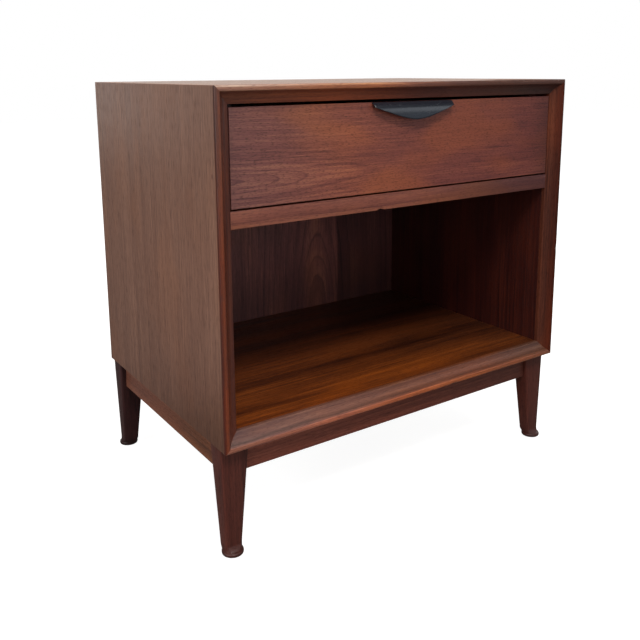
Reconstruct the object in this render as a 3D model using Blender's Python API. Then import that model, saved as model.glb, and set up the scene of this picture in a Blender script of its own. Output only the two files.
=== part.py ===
"""Walnut nightstand: a mitred case with one drawer over an open compartment, on tapered legs.

The object stands on z = 0 with its front towards -Y. X runs along its width, and x = 0 is its
middle plane. All lengths are in metres. An inset is measured inwards from an outer face of the case,
and a depth is measured backwards from the front plane of the case.
"""

import math

import bmesh
import bpy
from mathutils import Vector

# ---------------------------------------------------------------- driving dimensions

WIDTH = 0.610
DEPTH = 0.406
CASE_HEIGHT = 0.451
LEG_HEIGHT = 0.151

GAP = 0.0003  # glue line, or the play between two pieces that touch
HALF_GAP = GAP / 2

BOARD = 0.022  # thickness of the case boards and of the divider
EDGE_FLAT = 0.0065  # flat outer band of the front edging
EDGE_ARRIS = 0.0008  # small chamfer on the outermost edge
EDGE_COVE_DEPTH = 0.012  # how far the cove runs back to the opening
EDGE_COVE_SAG = 0.0016  # hollow of the cove below a straight bevel
EDGE_DEPTH = 0.018  # depth of the solid edging
EDGE_COVE_STEPS = 4
VENEER = 0.0012  # face veneer that laps over the edging
VENEER_START = 0.0045  # depth at which the face veneer begins

BACK_DEPTH = 0.390  # depth of the back panel's inner face
BACK_THICKNESS = 0.006
RABBET = 0.008

SPLINE_THICKNESS = 0.004
SPLINE_WIDTH = 0.012
SPLINE_INSET = 0.0135  # where a spline crosses the mitre, from the outer corner
SPLINE_START = 0.030
SPLINE_END = 0.370
BACK_SCREW_SHARE = 0.12  # distance of a side screw from the panel's corner, as a share of its height

DIVIDER_BOTTOM = 0.280  # above the underside of the case
DADO_DEPTH = 0.006
DADO_START = 0.034
DIVIDER_EDGE_DEPTH = 0.012

FRONT_BOTTOM = 0.3047  # drawer front, above the underside of the case
FRONT_TOP = 0.4250
FRONT_SIDE_GAP = 0.0016
FRONT_THICKNESS = 0.018

DRAWER_BOARD = 0.011  # thickness of the drawer's sides and back
DRAWER_SIDE_HEIGHT = 0.098
DRAWER_REAR = 0.371  # depth of the drawer's rear face
DRAWER_BACK_DROP = 0.004  # the back is this much lower than the sides
DRAWER_BOTTOM_RISE = 0.012
DRAWER_BOTTOM_THICKNESS = 0.005
GROOVE_DEPTH = 0.005
TAIL_LENGTH_FRONT = 0.012
TAIL_COUNT = 4
TAIL_SLOPE = 1 / 7
TAIL_SHARE = 0.56  # root width of a tail, as a share of the spacing
SOCKET_PAST = 0.001  # how far a cutter runs past a face

GUIDE_WIDTH = 0.024
GUIDE_HEIGHT = 0.009
GUIDE_START = 0.036
GUIDE_END = 0.378
GUIDE_PLAY = 0.0006
STRIP_WIDTH = 0.014
STOP_SIZE = (0.024, 0.010, 0.018)
STOP_X = 0.200
KICKER_WIDTH = 0.017
KICKER_CLEARANCE = 0.002
BOTTOM_SCREW_X = 0.120

PULL_HALF_LENGTH = 0.0705
PULL_DROP = 0.024  # height of the pull at its middle
PULL_TIP_DROP = 0.0055
PULL_REACH = 0.0117  # how far the lip stands out at the middle
PULL_TIP_REACH = 0.0022
PULL_LIP = 0.0022  # thickness of the lip
PULL_BACK = 0.0085  # height of the part that lies on the drawer front
PULL_TIP_BACK = 0.0045
PULL_ROUNDNESS = 0.35  # how blunt the lowest point of the lip is
PULL_STEPS = 20
PULL_FACE_POWER = 0.7  # below 1 the outer face bulges
PULL_INNER_POWER = 0.6
PULL_LIP_SHARE = 0.6  # most of the reach that the lip may take
PULL_SECTION_STEPS = 5
PULL_SCREW_X = 0.022
PULL_SCREW_DROP = 0.0062
PULL_SCREW_BITE = 0.0012

LEG_SIDE_INSET_TOP = 0.0010
LEG_SIDE_INSET_ANKLE = 0.0060
LEG_FRONT_INSET = 0.0173
LEG_REAR_INSET = 0.0095
LEG_TOP_WIDTH = 0.041
LEG_TOP_DEPTH = 0.0302
LEG_ANKLE_WIDTH = 0.022
LEG_ANKLE_DEPTH = 0.018
LEG_CORNER = 0.005
ANKLE_HEIGHT = 0.0135
TOE_RADIUS = 0.0136
TOE_RIM_TOP = 0.0058
TOE_ARRIS = 0.0009
TOE_SIDE_INSET = 0.0164
TOE_STEP_OUT = 0.0048  # the toe's centre lies this far outside the ankle's centre
TOE_SWEEP_STEPS = 3
LEG_CORNER_STEPS = 4

GLIDE_RADIUS = 0.0090
GLIDE_HEIGHT = 0.0020
GLIDE_ARRIS = 0.0006
GLIDE_SIDES = 16

APRON_HEIGHT = 0.040
APRON_THICKNESS = 0.017
APRON_SETBACK = 0.0067  # behind the legs' outer faces, front and rear
APRON_SIDE_INSET = 0.010
TENON_LENGTH = 0.013
TENON_THICKNESS = 0.008
TENON_HEIGHT = 0.024
MORTISE_PAST = 0.004

BLOCK_REACH = 0.040
BLOCK_HEIGHT = 0.026
BASE_SCREW_SHARE = 0.20  # place of the screw in the block, as a share of its reach

SHARP_ANGLE = math.radians(35)
SCREW_SIDES = 10
SCREW_BORE_PLAY = 0.0003
SCREW_POINT = 0.002  # length of a screw's point
SCREW_TAPER = 0.4  # radius of the point, as a share of the shank's
SCREW_CROWN = 0.8  # radius of the head's flat crown, as a share of the head's
SCREW_RIM = 0.55  # height of the head's rim, as a share of the head's
BACK_SCREW = (0.0036, 0.0021, 0.0014)  # radius and height of the head, radius of the shank
BACK_SCREW_BITE = 0.0105
PULL_SCREW = (0.0040, 0.0022, 0.0016)
BASE_SCREW = (0.0044, 0.0026, 0.0020)
BASE_SCREW_BITE = 0.012
BOTTOM_SCREW = (0.0030, 0.0016, 0.0012)
BOTTOM_SCREW_BITE = 0.008

# ---------------------------------------------------------------- derived places

FRONT = -DEPTH / 2
HALF_WIDTH = WIDTH / 2
TOTAL_HEIGHT = LEG_HEIGHT + CASE_HEIGHT
INNER_HALF = HALF_WIDTH - BOARD
DIVIDER_Z = LEG_HEIGHT + DIVIDER_BOTTOM
DIVIDER_TOP_Z = DIVIDER_Z + BOARD
DRAWER_FACE = FRONT + EDGE_COVE_DEPTH
FRONT_BACK = DRAWER_FACE + FRONT_THICKNESS
DRAWER_HALF = INNER_HALF - FRONT_SIDE_GAP
DRAWER_REAR_Y = FRONT + DRAWER_REAR
SIDE_Z = DIVIDER_TOP_Z + GAP
SIDE_TOP_Z = SIDE_Z + DRAWER_SIDE_HEIGHT
BOTTOM_Z = SIDE_Z + DRAWER_BOTTOM_RISE
BOTTOM_TOP_Z = BOTTOM_Z + DRAWER_BOTTOM_THICKNESS
BACK_INNER_Y = FRONT + BACK_DEPTH
APRON_Z = LEG_HEIGHT - APRON_HEIGHT
TENON_Z = LEG_HEIGHT - APRON_HEIGHT / 2

# ---------------------------------------------------------------- materials

WALNUT_VENEER = ("walnut_veneer", (0.19, 0.105, 0.075), 0.42, 0.0)
WALNUT_SOLID = ("walnut_solid", (0.155, 0.070, 0.048), 0.40, 0.0)
DRAWER_WOOD = ("drawer_wood", (0.52, 0.36, 0.20), 0.55, 0.0)
PLYWOOD = ("plywood", (0.42, 0.27, 0.15), 0.60, 0.0)
PULL_BLACK = ("pull_black", (0.018, 0.020, 0.024), 0.32, 0.0)
SCREW_STEEL = ("screw_steel", (0.45, 0.43, 0.40), 0.38, 1.0)
GLIDE_NYLON = ("glide_nylon", (0.10, 0.085, 0.075), 0.50, 0.0)


def material(spec):
    """The Principled material of that name, made once."""
    name, colour, roughness, metallic = spec
    found = bpy.data.materials.get(name)
    if found:
        return found
    made = bpy.data.materials.new(name)
    made.use_nodes = True
    shader = made.node_tree.nodes["Principled BSDF"]
    shader.inputs["Base Color"].default_value = (*colour, 1.0)
    shader.inputs["Roughness"].default_value = roughness
    shader.inputs["Metallic"].default_value = metallic
    return made


# ---------------------------------------------------------------- mesh helpers


def add_object(name, bm, spec=None):
    """Links a closed mesh as an object whose faces point outwards."""
    bmesh.ops.recalc_face_normals(bm, faces=bm.faces)
    mesh = bpy.data.meshes.new(name)
    bm.to_mesh(mesh)
    bm.free()
    made = bpy.data.objects.new(name, mesh)
    bpy.context.scene.collection.objects.link(made)
    if spec:
        mesh.materials.append(material(spec))
    return made


def loft(bm, rings):
    """Skins closed rings of points, each with the same number, and closes both ends."""
    rows = [[bm.verts.new(p) for p in ring] for ring in rings]
    count = len(rows[0])
    for low, high in zip(rows, rows[1:]):
        for i in range(count):
            j = (i + 1) % count
            bm.faces.new((low[i], low[j], high[j], high[i]))
    bm.faces.new(list(reversed(rows[0])))
    bm.faces.new(rows[-1])


def box(bm, low, high):
    """A box between two corners."""
    (x0, y0, z0), (x1, y1, z1) = low, high
    outline = [(x0, y0), (x1, y0), (x1, y1), (x0, y1)]
    loft(bm, [[(x, y, z) for x, y in outline] for z in (z0, z1)])


def block(name, low, high, spec):
    """A plain rectangular board as an object."""
    bm = bmesh.new()
    box(bm, low, high)
    return add_object(name, bm, spec)


def prism(name, outline, place, low, high, spec=None):
    """A flat outline pushed from low to high; place(u, v, w) turns its coordinates into a point."""
    bm = bmesh.new()
    loft(bm, [[place(u, v, w) for u, v in outline] for w in (low, high)])
    return add_object(name, bm, spec)


def turned(bm, profile, place, sides=SCREW_SIDES):
    """A round solid from (radius, height) pairs; place(a, b, h) turns them into points."""
    rings = []
    for radius, height in profile:
        ring = []
        for i in range(sides):
            angle = 2 * math.pi * i / sides
            ring.append(place(radius * math.cos(angle), radius * math.sin(angle), height))
        rings.append(ring)
    loft(bm, rings)


def screw_profile(seat, tip, outwards, size):
    """(radius, height) pairs of a screw with its head on seat; outwards is the head's direction."""
    head, rise, shank = size
    shoulder = tip + outwards * SCREW_POINT
    return [
        (head * SCREW_CROWN, seat + outwards * rise),
        (head, seat + outwards * rise * SCREW_RIM),
        (head, seat),
        (shank, seat),
        (shank, shoulder),
        (shank * SCREW_TAPER, tip),
    ]


def bore_profile(profile):
    """The hole for a screw's shank, past its head and past its tip."""
    radius = profile[3][0] + SCREW_BORE_PLAY
    return [(radius, profile[0][1]), (radius, 2 * profile[-1][1] - profile[-2][1])]


def screw(name, profile, place):
    """A screw as an object of its own."""
    bm = bmesh.new()
    turned(bm, profile, place)
    made = add_object(name, bm, SCREW_STEEL)
    smooth(made)
    return made


def cut(target, cutter):
    """Subtracts a hidden cutter from an object."""
    cutter.hide_render = True
    cutter.display_type = "WIRE"
    modifier = target.modifiers.new(cutter.name, "BOOLEAN")
    modifier.operation = "DIFFERENCE"
    modifier.solver = "EXACT"
    modifier.object = cutter


def smooth(target):
    """Shades a round piece smooth, with its sharp edges kept."""
    target.data.shade_smooth()
    target.data.set_sharp_from_angle(angle=SHARP_ANGLE)


# ---------------------------------------------------------------- case


def board_profile():
    """(inset, depth) outline of a case board: veneer lap at the front, rabbet at the rear."""
    return [
        (0, VENEER_START + GAP),
        (VENEER, VENEER_START + GAP),
        (VENEER, EDGE_DEPTH + GAP),
        (BOARD, EDGE_DEPTH + GAP),
        (BOARD, BACK_DEPTH),
        (BOARD - RABBET, BACK_DEPTH),
        (BOARD - RABBET, DEPTH),
        (0, DEPTH),
    ]


def edging_profile():
    """(inset, depth) outline of the solid front edging: a flat band, then a cove into the opening."""
    outline = [(0, VENEER_START), (0, EDGE_ARRIS), (EDGE_ARRIS, 0)]
    run = Vector((BOARD - EDGE_FLAT, EDGE_COVE_DEPTH))
    inwards = Vector((-run.y, run.x)).normalized() * EDGE_COVE_SAG
    for i in range(EDGE_COVE_STEPS + 1):
        t = i / EDGE_COVE_STEPS
        outline.append(tuple(Vector((EDGE_FLAT, 0)) + run * t + inwards * 4 * t * (1 - t)))
    outline += [(BOARD, EDGE_DEPTH), (VENEER + GAP, EDGE_DEPTH), (VENEER + GAP, VENEER_START)]
    return outline


def case_member(name, side, profile, spec):
    """A mitred member of the case: its profile runs along one side between two 45 degree ends."""
    play = HALF_GAP * math.sqrt(2)
    rings = []
    for end in (-1, 1):
        ring = []
        for inset, depth in profile:
            if side in ("top", "bottom"):
                x = end * (HALF_WIDTH - inset - play)
                z = TOTAL_HEIGHT - inset if side == "top" else LEG_HEIGHT + inset
            else:
                x = (HALF_WIDTH - inset) * (1 if side == "right" else -1)
                z = TOTAL_HEIGHT - inset - play if end > 0 else LEG_HEIGHT + inset + play
            ring.append((x, FRONT + depth, z))
        rings.append(ring)
    bm = bmesh.new()
    loft(bm, rings)
    return add_object(name, bm, spec)


def mitre_spline(bm, sx, sz, grow):
    """The plywood spline across the mitre of one corner, each of its faces moved out by a play."""
    over = Vector((sx, 0, -sz)).normalized() * (SPLINE_WIDTH / 2 + grow)
    along = Vector((sx, 0, sz)).normalized() * (SPLINE_THICKNESS / 2 + grow)
    edge_z = TOTAL_HEIGHT if sz > 0 else LEG_HEIGHT
    rings = []
    for y in (FRONT + SPLINE_START - grow, FRONT + SPLINE_END + grow):
        centre = Vector((sx * (HALF_WIDTH - SPLINE_INSET), y, edge_z - sz * SPLINE_INSET))
        rings.append([centre + a * over + b * along for a, b in ((1, 1), (1, -1), (-1, -1), (-1, 1))])
    loft(bm, rings)


def make_case():
    """The mitred case, its edging and its divider. Returns the four boards by side."""
    boards = {}
    for side in ("top", "bottom", "left", "right"):
        name = side + "_panel" if side in ("top", "bottom") else side + "_side_panel"
        boards[side] = case_member(name, side, board_profile(), WALNUT_VENEER)
        case_member(side + "_front_edging", side, edging_profile(), WALNUT_SOLID)

    grooves = bmesh.new()
    for side, sx in (("left", -1), ("right", 1)):
        for level, sz in (("top", 1), ("bottom", -1)):
            bm = bmesh.new()
            mitre_spline(bm, sx, sz, 0)
            add_object(f"mitre_spline_{level}_{side}", bm, PLYWOOD)
            mitre_spline(grooves, sx, sz, GAP)
    spline_cutter = add_object("cutter_splines", grooves)
    for board in boards.values():
        cut(board, spline_cutter)

    dado = bmesh.new()
    reach = INNER_HALF + DADO_DEPTH + GAP
    dado_front = FRONT + DADO_START - GAP
    box(dado, (-reach, dado_front, DIVIDER_Z - GAP), (reach, BACK_INNER_Y + GAP, DIVIDER_TOP_Z + GAP))
    dado_cutter = add_object("cutter_dado", dado)
    for side in ("left", "right"):
        cut(boards[side], dado_cutter)

    edge_half = INNER_HALF - GAP
    edge_back = DRAWER_FACE + DIVIDER_EDGE_DEPTH
    edging_low = (-edge_half, DRAWER_FACE, DIVIDER_Z)
    edging_high = (edge_half, edge_back, DIVIDER_TOP_Z)
    block("divider_edging", edging_low, edging_high, WALNUT_SOLID)

    tongue = INNER_HALF + DADO_DEPTH
    shoulder = FRONT + DADO_START
    outline = [
        (-edge_half, edge_back + GAP),
        (edge_half, edge_back + GAP),
        (edge_half, shoulder),
        (tongue, shoulder),
        (tongue, BACK_INNER_Y),
        (-tongue, BACK_INNER_Y),
        (-tongue, shoulder),
        (-edge_half, shoulder),
    ]
    prism("divider_panel", outline, lambda x, y, z: (x, y, z), DIVIDER_Z, DIVIDER_TOP_Z, WALNUT_VENEER)
    return boards


def back_screw_places():
    """Name to (x, z) of the screws that hold the back panel into the rabbets."""
    inset = BOARD - RABBET / 2
    x = HALF_WIDTH - inset
    low = LEG_HEIGHT + inset
    high = TOTAL_HEIGHT - inset
    rise = (high - low) * BACK_SCREW_SHARE
    return {
        "back_screw_top": (0, high),
        "back_screw_bottom": (0, low),
        "back_screw_left_upper": (-x, high - rise),
        "back_screw_left_lower": (-x, low + rise),
        "back_screw_right_upper": (x, high - rise),
        "back_screw_right_lower": (x, low + rise),
    }


def make_back(boards):
    """The back panel in its rabbet, and the screws through it into the case boards."""
    half = INNER_HALF + RABBET - GAP
    low = LEG_HEIGHT + BOARD - RABBET + GAP
    high = TOTAL_HEIGHT - BOARD + RABBET - GAP
    face = BACK_INNER_Y + GAP
    rear = face + BACK_THICKNESS
    back = block("back_panel", (-half, face, low), (half, rear, high), PLYWOOD)

    profile = screw_profile(rear + GAP, face - BACK_SCREW_BITE, 1, BACK_SCREW)
    bores = bmesh.new()
    for name, (x, z) in back_screw_places().items():
        def place(a, b, h, x=x, z=z):
            return (x + a, h, z + b)

        screw(name, profile, place)
        turned(bores, bore_profile(profile), place)
    cutter = add_object("cutter_back_bores", bores)
    cut(back, cutter)
    for board in boards.values():
        cut(board, cutter)


# ---------------------------------------------------------------- drawer guides


def make_guides():
    """The centre rail, the rear stops and the kickers that guide the drawer inside the case."""
    top = DIVIDER_TOP_Z + GAP
    block(
        "drawer_guide_rail",
        (-GUIDE_WIDTH / 2, FRONT + GUIDE_START, top),
        (GUIDE_WIDTH / 2, FRONT + GUIDE_END, top + GUIDE_HEIGHT),
        DRAWER_WOOD,
    )
    width, depth, height = STOP_SIZE
    stop_front = DRAWER_REAR_Y + GAP
    for side, sx in (("left", -1), ("right", 1)):
        low = (sx * STOP_X - width / 2, stop_front, top)
        block("drawer_stop_" + side, low, (low[0] + width, stop_front + depth, top + height), DRAWER_WOOD)
        inner = INNER_HALF - GAP - KICKER_WIDTH
        xs = sorted((sx * inner, sx * (INNER_HALF - GAP)))
        block(
            "drawer_kicker_" + side,
            (xs[0], FRONT + GUIDE_START, SIDE_TOP_Z + KICKER_CLEARANCE),
            (xs[1], FRONT + GUIDE_END, TOTAL_HEIGHT - BOARD - GAP),
            DRAWER_WOOD,
        )


# ---------------------------------------------------------------- drawer


def tail_outline(y_root, y_tip, grow):
    """(y, z) outlines of the dovetails at one end of a drawer side, each side grown by a play."""
    direction = 1 if y_tip > y_root else -1
    length = abs(y_tip - y_root)
    pitch = DRAWER_SIDE_HEIGHT / TAIL_COUNT
    half_root = pitch * TAIL_SHARE / 2
    half_tip = half_root + length * TAIL_SLOPE
    tails = []
    for i in range(TAIL_COUNT):
        z = SIDE_Z + pitch * (i + 0.5)
        root = y_root - direction * grow
        tip = y_tip + direction * grow
        low, high = half_root + grow, half_tip + grow
        tails.append([(root, z - low), (tip, z - high), (tip, z + high), (root, z + low)])
    return tails


def side_outline():
    """(y, z) outline of a drawer side with its dovetails at both ends."""
    front_root = FRONT_BACK + GAP
    rear_root = DRAWER_REAR_Y - DRAWER_BOARD - GAP
    outline = [(front_root, SIDE_Z), (rear_root, SIDE_Z)]
    for tail in tail_outline(rear_root, DRAWER_REAR_Y, 0):
        outline += tail
    outline += [(rear_root, SIDE_TOP_Z), (front_root, SIDE_TOP_Z)]
    for tail in reversed(tail_outline(front_root, FRONT_BACK - TAIL_LENGTH_FRONT, 0)):
        outline += reversed(tail)
    return outline


def tail_cutter(name, tails, inner, outer):
    """A cutter for the sockets of one end: every tail, grown, through both drawer sides' thickness."""
    bm = bmesh.new()
    for sx in (-1, 1):
        for tail in tails:
            loft(bm, [[(sx * x, y, z) for y, z in tail] for x in (inner, outer)])
    return add_object(name, bm)


def make_drawer(parent):
    """The dovetailed drawer with its pull, all under the empty that slides."""
    inner = DRAWER_HALF - DRAWER_BOARD
    front = block(
        "drawer_front",
        (-DRAWER_HALF, DRAWER_FACE, LEG_HEIGHT + FRONT_BOTTOM),
        (DRAWER_HALF, FRONT_BACK, LEG_HEIGHT + FRONT_TOP),
        WALNUT_VENEER,
    )
    back = block(
        "drawer_back",
        (-DRAWER_HALF, DRAWER_REAR_Y - DRAWER_BOARD, BOTTOM_TOP_Z + GAP),
        (DRAWER_HALF, DRAWER_REAR_Y, SIDE_TOP_Z - DRAWER_BACK_DROP),
        DRAWER_WOOD,
    )
    sides = []
    for side, sx in (("left", -1), ("right", 1)):
        board = prism(
            "drawer_side_" + side,
            side_outline(),
            lambda y, z, x: (x, y, z),
            sx * inner,
            sx * DRAWER_HALF,
            DRAWER_WOOD,
        )
        sides.append(board)

    past = DRAWER_HALF + SOCKET_PAST
    front_tails = tail_outline(FRONT_BACK + GAP, FRONT_BACK - TAIL_LENGTH_FRONT, GAP)
    cut(front, tail_cutter("cutter_front_sockets", front_tails, inner - GAP, past))
    rear_root = DRAWER_REAR_Y - DRAWER_BOARD - GAP
    rear_tails = tail_outline(rear_root, DRAWER_REAR_Y + SOCKET_PAST, GAP)
    cut(back, tail_cutter("cutter_back_sockets", rear_tails, inner - GAP, past))

    bottom_half = inner + GROOVE_DEPTH - GAP
    bottom_front = FRONT_BACK - GROOVE_DEPTH + GAP
    bottom = block(
        "drawer_bottom",
        (-bottom_half, bottom_front, BOTTOM_Z),
        (bottom_half, DRAWER_REAR_Y, BOTTOM_TOP_Z),
        PLYWOOD,
    )
    groove = bmesh.new()
    box(
        groove,
        (-bottom_half - GAP, bottom_front - GAP, BOTTOM_Z - GAP),
        (bottom_half + GAP, DRAWER_REAR_Y + SOCKET_PAST, BOTTOM_TOP_Z + GAP),
    )
    groove_cutter = add_object("cutter_groove", groove)
    for board in (front, *sides):
        cut(board, groove_cutter)

    strips = []
    strip_inner = GUIDE_WIDTH / 2 + GUIDE_PLAY
    for side, sx in (("left", -1), ("right", 1)):
        xs = sorted((sx * strip_inner, sx * (strip_inner + STRIP_WIDTH)))
        strips.append(
            block(
                "drawer_guide_strip_" + side,
                (xs[0], FRONT_BACK + GAP, DIVIDER_TOP_Z + 2 * GUIDE_PLAY),
                (xs[1], DRAWER_REAR_Y - DRAWER_BOARD, BOTTOM_Z - GAP),
                DRAWER_WOOD,
            )
        )

    made = [front, back, *sides, bottom, *strips, *make_pull(front)]
    made += make_bottom_screws(bottom, back)
    for piece in made:
        piece.parent = parent
        piece.location = -parent.location


def make_bottom_screws(bottom, back):
    """Small screws that hold the drawer bottom up against the drawer back."""
    y = DRAWER_REAR_Y - DRAWER_BOARD / 2
    profile = screw_profile(BOTTOM_Z - GAP, BOTTOM_TOP_Z + BOTTOM_SCREW_BITE, -1, BOTTOM_SCREW)
    screws = []
    bores = bmesh.new()
    for side, sx in (("left", -1), ("right", 1)):
        def place(a, b, h, x=sx * BOTTOM_SCREW_X):
            return (x + a, y + b, h)

        screws.append(screw("drawer_bottom_screw_" + side, profile, place))
        turned(bores, bore_profile(profile), place)
    cutter = add_object("cutter_bottom_bores", bores)
    cut(bottom, cutter)
    cut(back, cutter)
    return screws


def pull_share(u):
    """1 at the middle of the pull and 0 at its tips, with straight flanks and a blunt middle."""
    blunt = PULL_ROUNDNESS
    far = math.sqrt(1 + blunt * blunt)
    return (far - math.sqrt(u * u + blunt * blunt)) / (far - blunt)


def pull_section(u):
    """(forward, down) outline of the pull at u, from -1 to 1 along its length, starting at its top."""
    share = pull_share(u)
    drop = PULL_TIP_DROP + (PULL_DROP - PULL_TIP_DROP) * share
    reach = PULL_TIP_REACH + (PULL_REACH - PULL_TIP_REACH) * share
    back = PULL_TIP_BACK + (PULL_BACK - PULL_TIP_BACK) * share
    lip = min(PULL_LIP, reach * PULL_LIP_SHARE)
    outline = [(0, 0)]
    for i in range(1, PULL_SECTION_STEPS + 1):
        t = i / PULL_SECTION_STEPS
        outline.append((reach * t**PULL_FACE_POWER, drop * t))
    for i in range(PULL_SECTION_STEPS, -1, -1):
        t = i / PULL_SECTION_STEPS
        outline.append(((reach - lip) * t**PULL_INNER_POWER, back + (drop - back) * t))
    return outline


def make_pull(front):
    """The leaf-shaped pull on the drawer front's top edge, and its two screws from inside the drawer."""
    top = LEG_HEIGHT + FRONT_TOP
    face = DRAWER_FACE - GAP
    rings = []
    for i in range(PULL_STEPS + 1):
        u = -math.cos(math.pi * i / PULL_STEPS)
        x = u * PULL_HALF_LENGTH
        rings.append([(x, face - forward, top - down) for forward, down in pull_section(u)])
    bm = bmesh.new()
    loft(bm, rings)
    pull = add_object("drawer_pull", bm, PULL_BLACK)
    smooth(pull)

    z = top - PULL_SCREW_DROP
    profile = screw_profile(FRONT_BACK + GAP, face - PULL_SCREW_BITE, 1, PULL_SCREW)
    pieces = [pull]
    bores = bmesh.new()
    for side, sx in (("left", -1), ("right", 1)):
        def place(a, b, h, x=sx * PULL_SCREW_X):
            return (x + a, h, z + b)

        pieces.append(screw("pull_screw_" + side, profile, place))
        turned(bores, bore_profile(profile), place)
    cutter = add_object("cutter_pull_bores", bores)
    cut(front, cutter)
    cut(pull, cutter)
    return pieces


# ---------------------------------------------------------------- base


def rounded_ring(centre, half, radius, steps):
    """Points round a rectangle with round corners; a full radius makes a circle."""
    points = []
    for quarter, (sx, sy) in enumerate(((1, 1), (-1, 1), (-1, -1), (1, -1))):
        for i in range(steps):
            angle = math.radians(90 * (quarter + (i + 0.5) / steps))
            x = centre[0] + sx * (half[0] - radius) + radius * math.cos(angle)
            y = centre[1] + sy * (half[1] - radius) + radius * math.sin(angle)
            points.append((x, y))
    return points


def leg_share(z):
    """0 at the ankle and 1 at the top of a leg."""
    return (z - ANKLE_HEIGHT) / (LEG_HEIGHT - ANKLE_HEIGHT)


def leg_inner_x(z):
    """Inset of a leg's inner side face from the case's side, at a height."""
    top = LEG_SIDE_INSET_TOP + LEG_TOP_WIDTH
    ankle = LEG_SIDE_INSET_ANKLE + LEG_ANKLE_WIDTH
    return ankle + (top - ankle) * leg_share(z)


def leg_depth(z):
    """Depth of a leg from front to back, at a height."""
    return LEG_ANKLE_DEPTH + (LEG_TOP_DEPTH - LEG_ANKLE_DEPTH) * leg_share(z)


def leg_rings(outer_inset):
    """(inset from the side, inset from the front or rear, height) rings of a leg, from its toe up."""
    ankle_centre = (LEG_SIDE_INSET_ANKLE + LEG_ANKLE_WIDTH / 2, outer_inset + LEG_ANKLE_DEPTH / 2)
    ankle_half = (LEG_ANKLE_WIDTH / 2, LEG_ANKLE_DEPTH / 2)
    toe_centre = (TOE_SIDE_INSET, ankle_centre[1] - TOE_STEP_OUT)
    sole = GLIDE_HEIGHT + GAP
    edge = TOE_ARRIS
    rings = []
    rim = ((sole, TOE_RADIUS - edge), (sole + edge, TOE_RADIUS), (TOE_RIM_TOP - edge, TOE_RADIUS))
    for z, radius in rim:
        circle = rounded_ring(toe_centre, (radius, radius), radius, LEG_CORNER_STEPS)
        rings.append([(x, y, z) for x, y in circle])
    for i in range(TOE_SWEEP_STEPS + 1):
        t = i / TOE_SWEEP_STEPS
        z = TOE_RIM_TOP + (ANKLE_HEIGHT - TOE_RIM_TOP) * t
        keep = (1 - t) ** 2
        start = TOE_RADIUS - edge
        half = tuple(a + (start - a) * keep for a in ankle_half)
        radius = LEG_CORNER + (start - LEG_CORNER) * keep
        centre = tuple(a + (b - a) * keep for a, b in zip(ankle_centre, toe_centre))
        outline = rounded_ring(centre, half, radius, LEG_CORNER_STEPS)
        rings.append([(x, y, z) for x, y in outline])
    top_centre = (LEG_SIDE_INSET_TOP + LEG_TOP_WIDTH / 2, outer_inset + LEG_TOP_DEPTH / 2)
    top_half = (LEG_TOP_WIDTH / 2, LEG_TOP_DEPTH / 2)
    top = LEG_HEIGHT - GAP
    top_outline = rounded_ring(top_centre, top_half, LEG_CORNER, LEG_CORNER_STEPS)
    rings.append([(x, y, top) for x, y in top_outline])
    return rings


def corner_place(sx, front):
    """Turns insets from an outer corner of the case into a point over that corner."""

    def place(x, y, z):
        return (sx * (HALF_WIDTH - x), (FRONT + y) if front else (-FRONT - y), z)

    return place


def apron(name, near_end, far_end, v_low, v_high, place):
    """A rail between two legs, with tenons on its tapered ends. place(u, v, z) makes a point."""
    low = APRON_Z
    high = LEG_HEIGHT - GAP
    middle = (v_low + v_high) / 2
    half_t = TENON_THICKNESS / 2
    half_h = TENON_HEIGHT / 2
    bm = bmesh.new()
    ends = []
    for end, away in ((near_end, -1), (far_end, 1)):
        shoulder = [(v_low, low), (v_high, low), (v_high, high), (v_low, high)]
        root = [
            (middle - half_t, TENON_Z - half_h),
            (middle + half_t, TENON_Z - half_h),
            (middle + half_t, TENON_Z + half_h),
            (middle - half_t, TENON_Z + half_h),
        ]
        tip = end(TENON_Z) + away * TENON_LENGTH
        outer = [bm.verts.new(place(end(z), v, z)) for v, z in shoulder]
        inner = [bm.verts.new(place(end(z), v, z)) for v, z in root]
        point = [bm.verts.new(place(tip, v, z)) for v, z in root]
        for i in range(4):
            j = (i + 1) % 4
            bm.faces.new((outer[i], outer[j], inner[j], inner[i]))
            bm.faces.new((inner[i], inner[j], point[j], point[i]))
        bm.faces.new(point)
        ends.append(outer)
    for i in range(4):
        j = (i + 1) % 4
        bm.faces.new((ends[0][i], ends[0][j], ends[1][j], ends[1][i]))
    return add_object(name, bm, WALNUT_SOLID)


def mortise_boxes():
    """Cutter boxes for the aprons' tenons, a little larger than they are and open towards the aprons."""
    bm = bmesh.new()
    half_t = TENON_THICKNESS / 2 + GAP
    low = TENON_Z - TENON_HEIGHT / 2 - GAP
    high = TENON_Z + TENON_HEIGHT / 2 + GAP
    side_centre = HALF_WIDTH - APRON_SIDE_INSET - APRON_THICKNESS / 2
    inner = HALF_WIDTH - leg_inner_x(LEG_HEIGHT) - MORTISE_PAST
    tip = HALF_WIDTH - leg_inner_x(TENON_Z) + TENON_LENGTH
    for sx in (-1, 1):
        for front in (True, False):
            sy = -1 if front else 1
            inset = LEG_FRONT_INSET if front else LEG_REAR_INSET
            face = -FRONT - inset
            rail = sy * (face - APRON_SETBACK - APRON_THICKNESS / 2)
            xs = sorted((sx * inner, sx * tip))
            box(bm, (xs[0], rail - half_t, low), (xs[1], rail + half_t, high))
            y_inner = face - leg_depth(LEG_HEIGHT) - MORTISE_PAST
            y_tip = face - leg_depth(TENON_Z) + TENON_LENGTH
            ys = sorted((sy * y_inner, sy * y_tip))
            box(bm, (sx * side_centre - half_t, ys[0], low), (sx * side_centre + half_t, ys[1], high))
    return bm


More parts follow.
